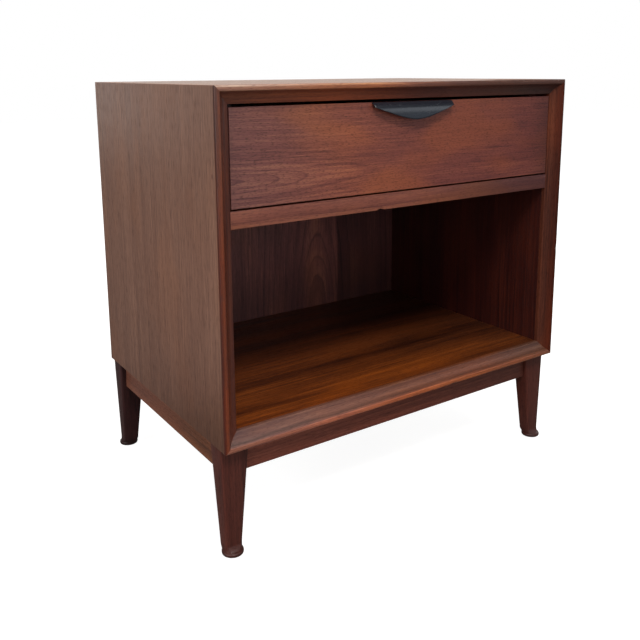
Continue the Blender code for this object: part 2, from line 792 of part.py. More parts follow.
def make_aprons():
    """The four rails of the base, tenoned into the legs."""
    def half_run(z):
        return HALF_WIDTH - leg_inner_x(z) - GAP

    for name, sy, inset in (("front_apron", -1, LEG_FRONT_INSET), ("rear_apron", 1, LEG_REAR_INSET)):
        outer = sy * (-FRONT - inset - APRON_SETBACK)
        ys = sorted((outer, outer - sy * APRON_THICKNESS))
        apron(name, lambda z: -half_run(z), half_run, ys[0], ys[1], lambda u, v, z: (u, v, z))

    def front_end(z):
        return FRONT + LEG_FRONT_INSET + leg_depth(z) + GAP

    def rear_end(z):
        return -FRONT - LEG_REAR_INSET - leg_depth(z) - GAP

    for name, sx in (("left_apron", -1), ("right_apron", 1)):
        outer = sx * (HALF_WIDTH - APRON_SIDE_INSET)
        xs = sorted((outer, outer - sx * APRON_THICKNESS))
        apron(name, front_end, rear_end, xs[0], xs[1], lambda u, v, z: (v, u, z))


def make_base(bottom_panel):
    """Legs, glides, aprons, corner blocks and the screws up into the case."""
    mortises = add_object("cutter_mortises", mortise_boxes())
    make_aprons()
    bores = bmesh.new()
    block_low = LEG_HEIGHT - GAP - BLOCK_HEIGHT
    profile = screw_profile(block_low - GAP, LEG_HEIGHT + BASE_SCREW_BITE, -1, BASE_SCREW)
    blocks = []
    for end_name, front in (("front", True), ("rear", False)):
        inset = LEG_FRONT_INSET if front else LEG_REAR_INSET
        for side_name, sx in (("left", -1), ("right", 1)):
            corner = end_name + "_" + side_name
            place = corner_place(sx, front)

            bm = bmesh.new()
            loft(bm, [[place(x, y, z) for x, y, z in ring] for ring in leg_rings(inset)])
            leg = add_object("leg_" + corner, bm, WALNUT_SOLID)
            smooth(leg)
            cut(leg, mortises)

            toe_x = TOE_SIDE_INSET
            toe_y = inset + LEG_ANKLE_DEPTH / 2 - TOE_STEP_OUT
            bm = bmesh.new()
            rim = GLIDE_RADIUS
            glide = [(rim - GLIDE_ARRIS, 0), (rim, GLIDE_ARRIS), (rim, GLIDE_HEIGHT)]
            turned(bm, glide, lambda a, b, h: place(toe_x + a, toe_y + b, h), GLIDE_SIDES)
            smooth(add_object("glide_" + corner, bm, GLIDE_NYLON))

            near_x = APRON_SIDE_INSET + APRON_THICKNESS + GAP
            near_y = inset + APRON_SETBACK + APRON_THICKNESS + GAP
            leg_x = leg_inner_x(LEG_HEIGHT) + GAP
            leg_y = inset + leg_depth(LEG_HEIGHT) + GAP
            outline = [
                (leg_x, near_y),
                (leg_x + BLOCK_REACH, near_y),
                (near_x, leg_y + BLOCK_REACH),
                (near_x, leg_y),
                (leg_x, leg_y),
            ]
            block_top = LEG_HEIGHT - GAP
            blocks.append(
                prism("corner_block_" + corner, outline, place, block_low, block_top, DRAWER_WOOD)
            )

            screw_x = leg_x + BLOCK_REACH * BASE_SCREW_SHARE
            screw_y = leg_y + BLOCK_REACH * BASE_SCREW_SHARE

            def screw_place(a, b, h, x=screw_x, y=screw_y, place=place):
                return place(x + a, y + b, h)

            screw("base_screw_" + corner, profile, screw_place)
            turned(bores, bore_profile(profile), screw_place)

    cutter = add_object("cutter_base_bores", bores)
    for target in (*blocks, bottom_panel):
        cut(target, cutter)


# ---------------------------------------------------------------- assembly


def main():
    """Clears the scene and builds the nightstand."""
    for old in list(bpy.data.objects):
        bpy.data.objects.remove(old)

    boards = make_case()
    make_back(boards)
    make_guides()
    make_base(boards["bottom"])

    drawer = bpy.data.objects.new("drawer_motion", None)
    bpy.context.scene.collection.objects.link(drawer)
    drawer.location = (0, FRONT_BACK, SIDE_Z)
    make_drawer(drawer)


main()
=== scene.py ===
"""The looks of the walnut nightstand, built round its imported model.

Lengths are in metres, in the model's own frame: the front faces -Y and the object stands on z = 0.
An inset is measured inwards from an outer face of the case, and a depth backwards from its front plane.
"""

from math import cos, exp, pi, radians, sin, sqrt

import bmesh
import bpy
from mathutils import Matrix, Vector, noise


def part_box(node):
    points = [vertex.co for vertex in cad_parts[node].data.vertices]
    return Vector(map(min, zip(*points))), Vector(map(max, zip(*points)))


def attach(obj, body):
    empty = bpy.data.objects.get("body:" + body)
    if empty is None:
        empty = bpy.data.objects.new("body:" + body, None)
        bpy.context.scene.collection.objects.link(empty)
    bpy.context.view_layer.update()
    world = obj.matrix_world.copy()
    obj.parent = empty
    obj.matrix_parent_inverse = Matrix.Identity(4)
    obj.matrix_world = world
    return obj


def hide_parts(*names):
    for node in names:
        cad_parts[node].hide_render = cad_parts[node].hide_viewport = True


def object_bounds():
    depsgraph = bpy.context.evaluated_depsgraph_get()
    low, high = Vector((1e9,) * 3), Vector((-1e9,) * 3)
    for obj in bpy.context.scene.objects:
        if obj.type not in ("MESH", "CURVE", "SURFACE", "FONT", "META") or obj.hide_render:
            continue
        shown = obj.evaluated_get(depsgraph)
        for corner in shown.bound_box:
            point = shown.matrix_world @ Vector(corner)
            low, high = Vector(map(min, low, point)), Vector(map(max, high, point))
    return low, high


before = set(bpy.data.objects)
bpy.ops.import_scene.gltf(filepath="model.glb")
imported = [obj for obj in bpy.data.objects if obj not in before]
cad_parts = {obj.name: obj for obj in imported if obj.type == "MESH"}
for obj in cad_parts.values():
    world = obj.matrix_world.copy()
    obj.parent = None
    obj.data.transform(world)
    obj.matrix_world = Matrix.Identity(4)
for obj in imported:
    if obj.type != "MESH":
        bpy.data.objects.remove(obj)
cad_low, cad_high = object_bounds()

# ---- measures

HALF_WIDTH = cad_high.x
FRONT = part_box("left_front_edging")[0].y
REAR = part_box("left_side_panel")[1].y
CASE_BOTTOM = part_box("bottom_panel")[0].z
CASE_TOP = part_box("top_panel")[1].z
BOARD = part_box("bottom_panel")[1].z - CASE_BOTTOM
DEPTH = REAR - FRONT
INNER_HALF = HALF_WIDTH - BOARD
BACK_DEPTH = 0.39  # depth of the back panel's inner face
RABBET = 0.008
JOINT = 0.00004  # half of the fine line between two glued pieces
ARRIS = 0.0005  # softened edge of a plain board

VENEER = 0.0012  # thickness of the face veneer
VENEER_START = 0.0045  # depth at which the face veneer begins
EDGE_FLAT = 0.0065  # flat outer band of the front edging
EDGE_DEPTH = 0.018
COVE_DEPTH = 0.012
COVE_SAG = 0.0023
COVE_STEPS = 8
CORNER_ROUND = 0.0011  # rounding of the case's long outer corners
EDGE_ROUNDS = (0.0022, 0.0012, 0.0007)  # rounding of the edging's outer, middle and inner arris
EDGING_SECTIONS = 60
SPLINED = ("top", "bottom")  # the boards that keep the mitre splines
WORN = 0.00022  # how far handling has rounded an arris back, at most
WORN_REACH = 0.0022  # how far from its corner an arris is worn

# Dents in the arrises: side of the case, place along it, half width and depth.
DENTS = (
    ("bottom", 0.08, 0.0055, 0.0011),
    ("bottom", -0.161, 0.003, 0.0005),
    ("left", 0.262, 0.004, 0.0006),
    ("left", 0.484, 0.003, 0.0005),
    ("top", 0.205, 0.004, 0.0005),
    ("right", 0.334, 0.005, 0.0006),
)
MARK_PLACE = (-0.19, 0.497)  # y and z of the stained dent in the side veneer
MARK_SIZE = (0.0024, 0.0042)
CHIP_X = -0.0535  # chip in the divider's lower arris
CHIP_HALF = 0.006
CHIP_DEPTH = 0.0017
DIVIDER_SECTIONS = 240
BACK_SEAM = 0.147  # x of the seam in the back panel's veneer

LEG_TOP_WIDTH = 0.041
LEG_TOP_DEPTH = 0.0302
LEG_INSET_TOP = 0.001
LEG_INSET_ANKLE = 0.0052
LEG_CORNER = 0.0034  # rounding of a leg's arrises
LEG_STEPS = 8
ANKLE_WIDTH = 0.024
ANKLE_DEPTH = 0.0196
ANKLE_HEIGHT = 0.0155
SOLE = 0.0021  # height at which the toe begins, above its glide
TOE_RADIUS = 0.0146
TOE_RIM = 0.0052  # height of the toe's rounded rim
TOE_UPPER = 0.0016  # how far the rim draws in at its top, on the outer side only
TOE_LOWER = 0.001
TOE_STEP_OUT = 0.0048  # how far the toe's middle stands out from the ankle's
TOE_SIDE_STEP = 0.0006
TOE_STEPS = 8
SWEEP_STEPS = 9  # rings between the toe and the ankle
SWEEP_POWER = 2.2
CORNER_STEPS = 8
APRON_TENON = 0.013
APRON_BITE = 0.0003  # how far an apron's end goes into the leg's face

PULL_TIP_DROP = 0.0066
PULL_METAL = 0.0013
PULL_TOP_FORWARD = 0.0014
PULL_CURL = 0.0062  # drop over which the pull's face turns upright
PULL_BACK = 0.0085
PULL_TIP_BACK = 0.0016
PULL_ROUNDNESS = 0.35
PULL_STEPS = 72
PULL_SECTION_STEPS = 18
PULL_TIP_ROUND = 0.016  # share of the half length over which a tip rounds off
PULL_TIP_TRIM = 0.35  # how much of its drop a tip loses above and below, at most

SCREW_RISE = 0.58  # height of a screw's head, in shares of its radius
SCREW_SHANK = 0.4
SCREW_TIP = 0.002
SCREW_SIDES = 28
SLOT_WIDTH = 0.0008
SLOT_DEPTH = 0.0009
SQUARE = ((-1, -1), (1, -1), (1, 1), (-1, 1))
CORNERS = ("front_left", "front_right", "rear_left", "rear_right")

# Waves per metre of each part of the grain: along it, across it and out of the face.
TRUNK_SWAY = (2.6, 8.0, 8.0)
RIPPLE = (9.0, 24.0, 24.0)
FIBRES = (26.0, 620.0, 620.0)
LINES = (3.6, 340.0, 340.0)
STREAKS = (1.3, 26.0, 20.0)
PATCHES = (5.5, 13.0, 9.0)
CLEARNESS = (4.0, 16.0, 16.0)
PORES_ACROSS = 980.0
PORE_COLOUR = (0.34, 0.3, 0.3, 1.0)

IMAGE = 640
FOCAL = 767.7  # focal length in pixels
SHIFT = 100.0  # how far the picture is shifted down, in pixels
SENSOR = 36.0
EYE = (-0.7023, -0.9896, 0.6171)
YAW, PITCH, ROLL = 34.47, 11.0, -0.33

FLOOR_HALF = 9
FLOOR_GLOW = 0.88  # how bright the floor looks under the object
FLOOR_PALE = (0.42, 0.42, 0.42, 1.0)
FLOOR_BOUNCE = (0.16, 0.16, 0.16, 1.0)
SURROUND_LIGHT = 0.1
WHITE = (1.0, 1.0, 1.0, 1.0)
WARM = (1.0, 0.98, 0.97)
CANDLE = (1.0, 0.97, 0.93)


# ---- shader graph


def rgb(red, green, blue):
    """A colour from 0-255 display values, as the shader wants it."""
    values = []
    for value in (red, green, blue):
        share = value / 255
        values.append(share / 12.92 if share <= 0.04045 else ((share + 0.055) / 1.055) ** 2.4)
    return (*values, 1.0)


class Graph:
    """A material or world under construction. An input is a number, a colour or a node's output.

    place is the point on the object in the model's own frame, and x, y and z are its coordinates.
    """

    def __init__(self, name, kind="materials"):
        self.owner = getattr(bpy.data, kind).new(name)
        self.owner.use_nodes = True
        self.tree = self.owner.node_tree
        self.tree.nodes.clear()
        self.place = self.add("TexCoord").outputs["Object"]
        self.x, self.y, self.z = self.add("SeparateXYZ", {0: self.place}).outputs

    def add(self, kind, inputs=(), **settings):
        node = self.tree.nodes.new("ShaderNode" + kind)
        for key, value in settings.items():
            setattr(node, key, value)
        for key, value in dict(inputs).items():
            if isinstance(value, bpy.types.NodeSocket):
                self.tree.links.new(value, node.inputs[key])
            else:
                node.inputs[key].default_value = value
        return node

    def math(self, operation, first, second=0.0, third=0.0):
        node = self.add("Math", {0: first, 1: second, 2: third}, operation=operation)
        return node.outputs[0]

    def plus(self, first, second):
        return self.math("ADD", first, second)

    def minus(self, first, second):
        return self.math("SUBTRACT", first, second)

    def times(self, first, second):
        return self.math("MULTIPLY", first, second)

    def over(self, first, second):
        return self.math("DIVIDE", first, second)

    def line(self, value, slope, start):
        """start + value * slope."""
        return self.math("MULTIPLY_ADD", value, slope, start)

    def sway(self, noise_value, strength, start):
        """start, moved by how far a noise lies from its middle."""
        return self.line(self.minus(noise_value, 0.5), strength, start)

    def squares(self, first, second):
        """The sum of two squares."""
        return self.plus(self.times(first, first), self.times(second, second))

    def vector(self, x, y, z):
        return self.add("CombineXYZ", {0: x, 1: y, 2: z}).outputs[0]

    def noise(self, vector, detail, roughness, scale=1.0):
        inputs = {"Vector": vector, "Scale": scale, "Detail": detail, "Roughness": roughness}
        return self.add("TexNoise", inputs).outputs["Fac"]

    def ramp(self, factor, stops):
        """stops holds (position, colour or grey value) pairs."""
        node = self.add("ValToRGB", {"Fac": factor})
        elements = node.color_ramp.elements
        while len(elements) < len(stops):
            elements.new(0.5)
        for element, (position, colour) in zip(elements, stops):
            element.position = position
            element.color = (*(colour[:3] if isinstance(colour, tuple) else [colour] * 3), 1.0)
        return node.outputs["Color"]

    def mix(self, factor, first, second, blend="MIX"):
        node = self.add("MixRGB", {"Fac": factor, "Color1": first, "Color2": second}, blend_type=blend)
        return node.outputs[0]

    def tint(self, first, *others):
        """One colour multiplied by others."""
        for other in others:
            first = self.mix(1.0, first, other, "MULTIPLY")
        return first

    def spread(self, value, low, high, out_low=0.0, out_high=1.0, kind="SMOOTHSTEP"):
        """Maps low..high to out_low..out_high, clamped, with soft ends."""
        inputs = {"Value": value, "From Min": low, "From Max": high}
        inputs.update({"To Min": out_low, "To Max": out_high})
        return self.add("MapRange", inputs, interpolation_type=kind).outputs["Result"]

    def share(self, value, low, high):
        """Maps low..high to 0..1, clamped, in a straight line."""
        return self.spread(value, low, high, kind="LINEAR")

    def finish(self, shader_inputs, bump, distance, strength):
        height = {"Height": bump, "Distance": distance, "Strength": strength}
        normal = self.add("Bump", height).outputs["Normal"]
        shader = self.add("BsdfPrincipled", {**shader_inputs, "Normal": normal})
        self.add("OutputMaterial", {"Surface": shader.outputs[0]})
        return self.owner


# ---- wood


class Wood:
    """How one kind of wood looks.

    colours go from dark to light, and glow shows in patches. The other values are how strong each part
    of the grain is, in shares of the range of colours, and ring is the width of a yearly ring. figure is
    the place where the rings gather: its middle along and across the grain, and half its size each way.
    """

    ring = 0.003
    rings = 0.3
    fibres = 0.34
    lines = 0.3
    streaks = 0.3
    pores = 0.4
    pore_length = 0.0075
    glows = 0.3
    roughness = 0.36
    specular = 0.5
    figure = None

    def __init__(self, colours, glow, **strengths):
        self.colours = [rgb(*colour) for colour in colours]
        self.glow = rgb(*glow)
        for key, value in strengths.items():
            setattr(self, key, value)


def grain_noise(graph, sides, frequency, shift, detail, roughness, out_shift=0.0):
    """Noise stretched along the grain. sides are the coordinates along it, across it and out of the face."""
    along, across, out = sides
    place = graph.vector(
        graph.line(along, frequency[0], shift),
        graph.times(across, frequency[1]),
        graph.line(out, frequency[2], out_shift),
    )
    return graph.noise(place, detail, roughness)


def ring_radius(graph, sides, pith, rise, seed, warp):
    """The coordinate across the grain after the trunk's sway, and the distance from the tree's heart."""
    along, across, out = sides
    bent = graph.sway(grain_noise(graph, sides, TRUNK_SWAY, seed, 3.0, 0.55, seed), warp * 2, across)
    amount, middle, length = rise
    lift = graph.math("TANH", graph.over(graph.minus(along, middle), length))
    heart = graph.line(lift, amount, graph.plus(out, pith[1]))
    radius = graph.math("SQRT", graph.squares(graph.minus(bent, pith[0]), heart))
    return bent, graph.line(grain_noise(graph, sides, RIPPLE, seed, 3.0, 0.6, seed), warp * 0.8, radius)


def ring_pattern(graph, radius, along, ring, seed):
    """Uneven yearly rings: each ends in a dark line, and flowing noise runs through them."""
    flow = graph.vector(graph.over(radius, ring * 1.6), graph.times(along, 1.1), seed + 3.0)
    flow = graph.noise(flow, 3.0, 0.62)
    turns = graph.over(radius, ring * 3.0)
    spacing = graph.noise(graph.vector(graph.over(turns, 3.0), seed, 0.0), 1.0, 0.5)
    year = graph.math("FRACT", graph.line(flow, 0.9, graph.line(spacing, 3.5, turns)))
    late = graph.ramp(year, [(0.0, 0.5), (0.08, 1.0), (0.72, 0.8), (0.95, 0.0), (1.0, 0.5)])
    return graph.plus(graph.times(flow, 0.55), graph.times(late, 0.45))


def ring_strength(graph, look, sides, bent, seed):
    """Rings come and go over the board, or gather at the look's figure if it has one."""
    along, across, out = sides
    if not look.figure:
        clear = grain_noise(graph, (along, bent, out), CLEARNESS, seed + 17.0, 2.0, 0.5)
        return graph.spread(clear, 0.36, 0.62, look.rings * 0.7, look.rings * 2.6)
    middle_along, middle_across, half_along, half_across = look.figure
    u = graph.over(graph.minus(along, middle_along), half_along)
    v = graph.over(graph.minus(across, middle_across), half_across)
    return graph.spread(graph.squares(u, v), 0.35, 1.25, look.rings * 3.4, look.rings)


def wood(name, look, grain, pith, rise=(0.0, 0.0, 1.0), seed=0.0, warp=0.006, shade=None):
    """A wood whose rings are cut by the piece's faces.

    grain names the axes along the grain, across it and out of the face. pith gives where the heart of
    the tree runs across the face, and how deep it lies. rise is (amount, middle, length): the heart
    rises by that amount towards both sides of the middle, which makes arched figure. warp is how far
    the grain sways. shade is a function of the graph, whose colour tints the wood.
    """
    graph = Graph(name)
    sides = [getattr(graph, letter) for letter in grain]
    bent, radius = ring_radius(graph, sides, pith, rise, seed, warp)
    swayed = (sides[0], bent, sides[2])
    rings = ring_pattern(graph, radius, sides[0], look.ring, seed)
    fibres = grain_noise(graph, swayed, FIBRES, seed, 2.0, 0.6)
    pore_size = (1 / look.pore_length, PORES_ACROSS, PORES_ACROSS)
    pores = graph.spread(grain_noise(graph, swayed, pore_size, seed, 1.0, 0.5), 0.54, 0.65)
    lines = grain_noise(graph, swayed, LINES, seed + 5.0, 3.0, 0.65)
    streaks = grain_noise(graph, swayed, STREAKS, seed + 7.0, 4.0, 0.6)
    glow = graph.spread(grain_noise(graph, swayed, PATCHES, seed + 11.0, 2.0, 0.5), 0.46, 0.7)

    tone = graph.sway(rings, ring_strength(graph, look, sides, bent, seed), 0.5)
    for part, strength in ((fibres, look.fibres), (lines, look.lines), (streaks, look.streaks)):
        tone = graph.sway(part, strength * 2, tone)
    last = len(look.colours) - 1
    colour = graph.ramp(tone, [(0.12 + 0.76 * i / last, colour) for i, colour in enumerate(look.colours)])
    colour = graph.mix(graph.times(glow, look.glows), colour, look.glow)
    colour = graph.mix(graph.times(pores, look.pores), colour, graph.tint(colour, PORE_COLOUR))
    # Several shades paint light and shade into the colour.
    if shade:
        colour = graph.tint(colour, shade(graph))

    rough = graph.sway(streaks, 0.16, graph.line(pores, 0.16, look.roughness))
    height = graph.line(pores, -0.7, graph.times(fibres, 0.5))
    shader = {"Base Color": colour, "Roughness": rough, "Specular IOR Level": look.specular}
    return graph.finish(shader, height, 0.00012, 0.45)


SIDE_WALNUT = Wood(
    [(74, 46, 36), (104, 70, 55), (122, 86, 68), (140, 102, 82)],
    (132, 86, 60), ring=0.0016, rings=0.22, fibres=0.36, lines=0.36, pores=0.42, pore_length=0.016,
    roughness=0.42,
)
FRONT_TONES = [(84, 42, 38), (118, 64, 54), (142, 80, 64), (164, 98, 74)]
FRONT_WALNUT = Wood(
    FRONT_TONES,
    (166, 92, 52), ring=0.0017, rings=0.24, fibres=0.44, lines=0.46, streaks=0.27, pores=0.62, glows=0.55,
    pore_length=0.005, figure=(-0.205, 0.486, 0.125, 0.036),
)
STRIP_WALNUT = Wood(
    FRONT_TONES,
    (166, 92, 52), ring=0.0026, fibres=0.32, lines=0.2, streaks=0.4, pores=0.5, glows=0.5,
)
SOLID_WALNUT = Wood(
    [(66, 31, 23), (95, 50, 37), (119, 67, 47), (142, 84, 57)],
    (148, 76, 40), rings=0.2, fibres=0.28, streaks=0.5, glows=0.45,
)
# A darkened copy of the solid walnut for the right edging: painted shade on the side of the case away from
# the light.
SHADED_SOLID_WALNUT = Wood(
    [(40, 16, 11), (60, 25, 17), (78, 34, 22), (98, 46, 30)],
    (104, 44, 24), rings=0.2, fibres=0.28, streaks=0.5, glows=0.45, roughness=0.46, specular=0.12,
)
FLOOR_WALNUT = Wood(
    [(56, 25, 13), (88, 43, 17), (116, 60, 23), (150, 81, 30)],
    (156, 80, 21), rings=0.2, lines=0.75, streaks=0.6, glows=0.4,
)
INNER_WALNUT = Wood(
    [(62, 31, 33), (92, 52, 52), (118, 69, 65), (154, 98, 80)],
    (144, 82, 58), ring=0.004, rings=0.34, lines=0.2, streaks=0.36, glows=0.35,
)
# Near-black walnut for the inner walls and the kickers: painted shade of the inside of the case.
SHADED_WALL_WALNUT = Wood(
    [(30, 8, 8), (46, 14, 12), (60, 21, 16), (78, 31, 20)],
    (80, 30, 16), ring=0.0024, fibres=0.26, lines=0.5, streaks=0.6, glows=0.4,
)
# A paler walnut for the top, raised to stand for the glare on it: painted light over the wood's own tone.
LIT_TOP_WALNUT = Wood(
    [(86, 52, 38), (124, 82, 60), (150, 104, 76), (178, 130, 96)],
    (164, 104, 68), ring=0.0024, rings=0.26, lines=0.4, streaks=0.4, glows=0.35, roughness=0.33,
)
PLY_BACK = Wood(
    [(92, 62, 40), (122, 86, 58), (140, 102, 72), (158, 120, 86)],
    (140, 96, 62), ring=0.007, rings=0.34, fibres=0.2, lines=0.16, pores=0.22, roughness=0.6,
)
LEG_WALNUT = Wood(
    [(48, 20, 16), (70, 32, 25), (88, 43, 34), (106, 56, 45)],
    (104, 46, 32), ring=0.0024, rings=0.22, fibres=0.3, streaks=0.46, glows=0.25, roughness=0.4,
    specular=0.38,
)
PALE_WOOD = Wood(
    [(168, 128, 84), (192, 152, 104), (206, 170, 122), (218, 184, 138)],
    (204, 158, 102), ring=0.004, rings=0.22, fibres=0.16, pores=0.18, roughness=0.48,
)
PLY_FACE = Wood(
    [(142, 100, 66), (164, 122, 84), (178, 138, 98), (192, 152, 112)],
    (176, 126, 80), ring=0.007, fibres=0.18, streaks=0.34, pores=0.25, roughness=0.55,
)


# ---- mesh helpers


def between(first, second, share):
    """The point or value a share of the way from first to second."""
    if isinstance(first, tuple):
        return tuple(a + (b - a) * share for a, b in zip(first, second))
    return first + (second - first) * share


def loft(rings):
    """A mesh that skins closed rings of as many points each, and is closed at both ends."""
    bm = bmesh.new()
    rows = [[bm.verts.new(point) for point in ring] for ring in rings]
    count = len(rows[0])
    for low, high in zip(rows, rows[1:]):
        for i in range(count):
            j = (i + 1) % count
            bm.faces.new((low[i], low[j], high[j], high[i]))
    bm.faces.new(list(reversed(rows[0])))
    bm.faces.new(rows[-1])
    return bm


def rounded(outline, radii, steps=3):
    """The closed outline with each corner rounded by its radius; 0 keeps a corner sharp."""
    points = []
    for i, (corner, radius) in enumerate(zip(outline, radii)):
        here = Vector(corner)
        if not radius:
            points.append(tuple(here))
            continue
        start = here + (Vector(outline[i - 1]) - here).normalized() * radius
        end = here + (Vector(outline[(i + 1) % len(outline)]) - here).normalized() * radius
        for step in range(steps + 1):
            t = step / steps
            points.append(tuple(start * (1 - t) ** 2 + here * 2 * t * (1 - t) + end * t * t))
    return points


def add_object(name, data):
    """Puts a new object in the scene."""
    made = bpy.data.objects.new(name, data)
    bpy.context.scene.collection.objects.link(made)
    return made


def solid_object(name, bm):
    """Turns a mesh under construction into an object."""
    bmesh.ops.recalc_face_normals(bm, faces=bm.faces)
    mesh = bpy.data.meshes.new(name)
    bm.to_mesh(mesh)
    bm.free()
    return add_object(name, mesh)


def make_piece(name, bm, body, slot, material, *replaced, angle=32):
    """Turns a mesh into a finished piece that rides on a body and stands for its CAD nodes."""
    bmesh.ops.remove_doubles(bm, verts=bm.verts, dist=1e-6)
    bmesh.ops.dissolve_degenerate(bm, dist=1e-7, edges=bm.edges)
    made = solid_object(name, bm)
    made.data.materials.append(material)
    made.data.shade_smooth()
    made.data.set_sharp_from_angle(angle=radians(angle))
    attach(made, body)
    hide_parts(*replaced)
    return made


def soften_node(node, material, width=ARRIS, segments=2):
    """Gives a CAD node its wood and a softened arris."""
    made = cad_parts[node]
    made.data.materials.clear()
    made.data.materials.append(material)
    weld = made.modifiers.new("weld", "WELD")
    weld.merge_threshold = 1e-5
    if width:
        bevel = made.modifiers.new("arris", "BEVEL")
        bevel.width = width
        bevel.segments = segments
        bevel.limit_method = "ANGLE"
        bevel.angle_limit = radians(40)
        bevel.harden_normals = True
    return made


# ---- case


def member(side, outline, sections=1, worn=None):
    """A mitred member of the case, whose long outer corner is rounded up to the mitre.

    outline holds (inset, depth) points. worn(index, place) gives how far a point is worn inwards.
    """
    low, high = (-HALF_WIDTH, HALF_WIDTH) if side in SPLINED else (CASE_BOTTOM, CASE_TOP)
    turns = [radians(angle) for angle in (45, 30, 15, 0)]
    arc = [(CORNER_ROUND * (1 - cos(turn)), CORNER_ROUND * (1 - sin(turn))) for turn in turns]
    stations = [(least, run, 0.0) for least, run in arc]
    stations += [(0.0, CORNER_ROUND, i / sections) for i in range(1, sections)]
    stations += [(least, run, 1.0) for least, run in reversed(arc)]

    rings = []
    for least, run, share in stations:
        ring = []
        for index, (inset, depth) in enumerate(outline):
            reach = max(run, inset + JOINT)
            place = between(low + reach, high - reach, share)
            inset = max(inset, least)
            if worn:
                wear = worn(index, place)
                inset += wear
                depth += wear
            if side == "top":
                ring.append((place, FRONT + depth, CASE_TOP - inset))
            elif side == "bottom":
                ring.append((place, FRONT + depth, CASE_BOTTOM + inset))
            else:
                x = inset - HALF_WIDTH if side == "left" else HALF_WIDTH - inset
                ring.append((x, FRONT + depth, place))
        rings.append(ring)
    return loft(rings)


def board_outline():
    """(inset, depth) outline of a case board: veneer lap at the front, rabbet for the back at the rear."""
    outline = [
        (0, VENEER_START + JOINT), (VENEER, VENEER_START + JOINT),
        (VENEER, EDGE_DEPTH + JOINT), (BOARD, EDGE_DEPTH + JOINT),
        (BOARD, BACK_DEPTH), (BOARD - RABBET, BACK_DEPTH),
        (BOARD - RABBET, DEPTH), (0, DEPTH),
    ]
    return rounded(outline, (0, 0, 0, 0, 0, 0, ARRIS, ARRIS))


def cove_point(share):
    """Point of the cove, from its front at 0 to the opening at 1."""
    run = Vector((BOARD - EDGE_FLAT, COVE_DEPTH))
    inwards = Vector((-run.y, run.x)).normalized() * COVE_SAG
    return Vector((EDGE_FLAT, 0)) + run * share + inwards * 4 * share * (1 - share)


def edging_outline():
    """(inset, depth) outline of the solid front edging, and the share of wear at each of its points."""
    outer, middle, inner = EDGE_ROUNDS
    corners = [((0, VENEER_START), 0), ((0, 0), outer), ((EDGE_FLAT, 0), middle)]
    corners += [(cove_point(i / COVE_STEPS), 0) for i in range(1, COVE_STEPS)]
    corners += [((BOARD, COVE_DEPTH), inner), ((BOARD, EDGE_DEPTH), 0)]
    corners += [((VENEER + JOINT, EDGE_DEPTH), 0), ((VENEER + JOINT, VENEER_START), 0)]
    outline, radii = zip(*corners)
    points = rounded(outline, radii, 4)
    worn_corners = (Vector((0, 0)), Vector((BOARD, COVE_DEPTH)))
    wear = []
    for point in points:
        nearest = min((Vector(point) - corner).length for corner in worn_corners)
        wear.append(max(0.0, 1 - nearest / WORN_REACH))
    return points, wear


def wear_of(side, weights):
    """The wear function of one side's arrises: a slow waviness and that side's dents."""

    def worn(index, place):
        weight = weights[index]
        if not weight:
            return 0.0
        amount = WORN * (0.5 + 0.5 * noise.noise(Vector((place * 23, len(side) * 3.1, 0.4))))
        for where, centre, half, deep in DENTS:
            if where == side:
                amount += deep * max(0.0, 1 - ((place - centre) / half) ** 2)
        return amount * weight

    return worn


def along_front(graph):
    """0 at the left end of the case and 1 at its right end."""
    return graph.share(graph.x, -HALF_WIDTH, HALF_WIDTH)


def along_opening(graph):
    """0 at the left of the opening and 1 at its right."""
    return graph.share(graph.x, -INNER_HALF, INNER_HALF)


def up_case(graph):
    """0 at the bottom of the case and 1 at its top."""
    return graph.share(graph.z, CASE_BOTTOM, CASE_TOP)


def side_shade(graph):
    """The side veneer is lighter and bluer at mid height, a painted sheen, and darker towards its lower
    front corner, a painted shade. It has one small stained dent.
    """
    # painted sheen: lighter and bluer at mid height
    fall = graph.ramp(up_case(graph), [(0.0, (0.97, 0.95, 0.98)), (0.5, (1.16, 1.2, 1.28)), (1.0, 1.0)])
    y = graph.over(graph.minus(graph.y, MARK_PLACE[0]), MARK_SIZE[0])
    z = graph.over(graph.minus(graph.z, MARK_PLACE[1]), MARK_SIZE[1])
    away = graph.math("SQRT", graph.squares(y, z))
    mark = graph.ramp(graph.spread(away, 0.4, 1.1), [(0.0, (0.52, 0.36, 0.36)), (1.0, 1.0)])
    # painted shade towards the lower front corner
    reach = graph.line(graph.minus(graph.y, FRONT), 0.35, graph.minus(graph.z, CASE_BOTTOM))
    corner = graph.ramp(graph.share(reach, 0.0, 0.14), [
        (0.0, (0.5, 0.4, 0.31)), (0.29, (0.62, 0.53, 0.44)),
        (0.43, (0.73, 0.66, 0.59)), (0.64, (0.87, 0.83, 0.8)),
        (1.0, 1.0),
    ])
    return graph.tint(fall, corner, mark)


def dirt_shade(graph):
    """Finish and dirt have darkened the flat of the upright edgings towards the case's outer corners."""
    away = graph.math("ABSOLUTE", graph.x)
    return graph.ramp(graph.share(away, HALF_WIDTH - EDGE_FLAT, HALF_WIDTH), [
        (0.05, 0.94), (0.35, 1.06),
        (0.55, 1.06), (0.7, (0.8, 0.72, 0.62)),
        (0.9, (0.58, 0.4, 0.26)),
    ])


def flat_or_hollow(graph, flat, hollow):
    """One colour on an edging's flat and another in its hollow."""
    return graph.mix(graph.spread(graph.y, FRONT + 0.0003, FRONT + 0.0016), flat, hollow)


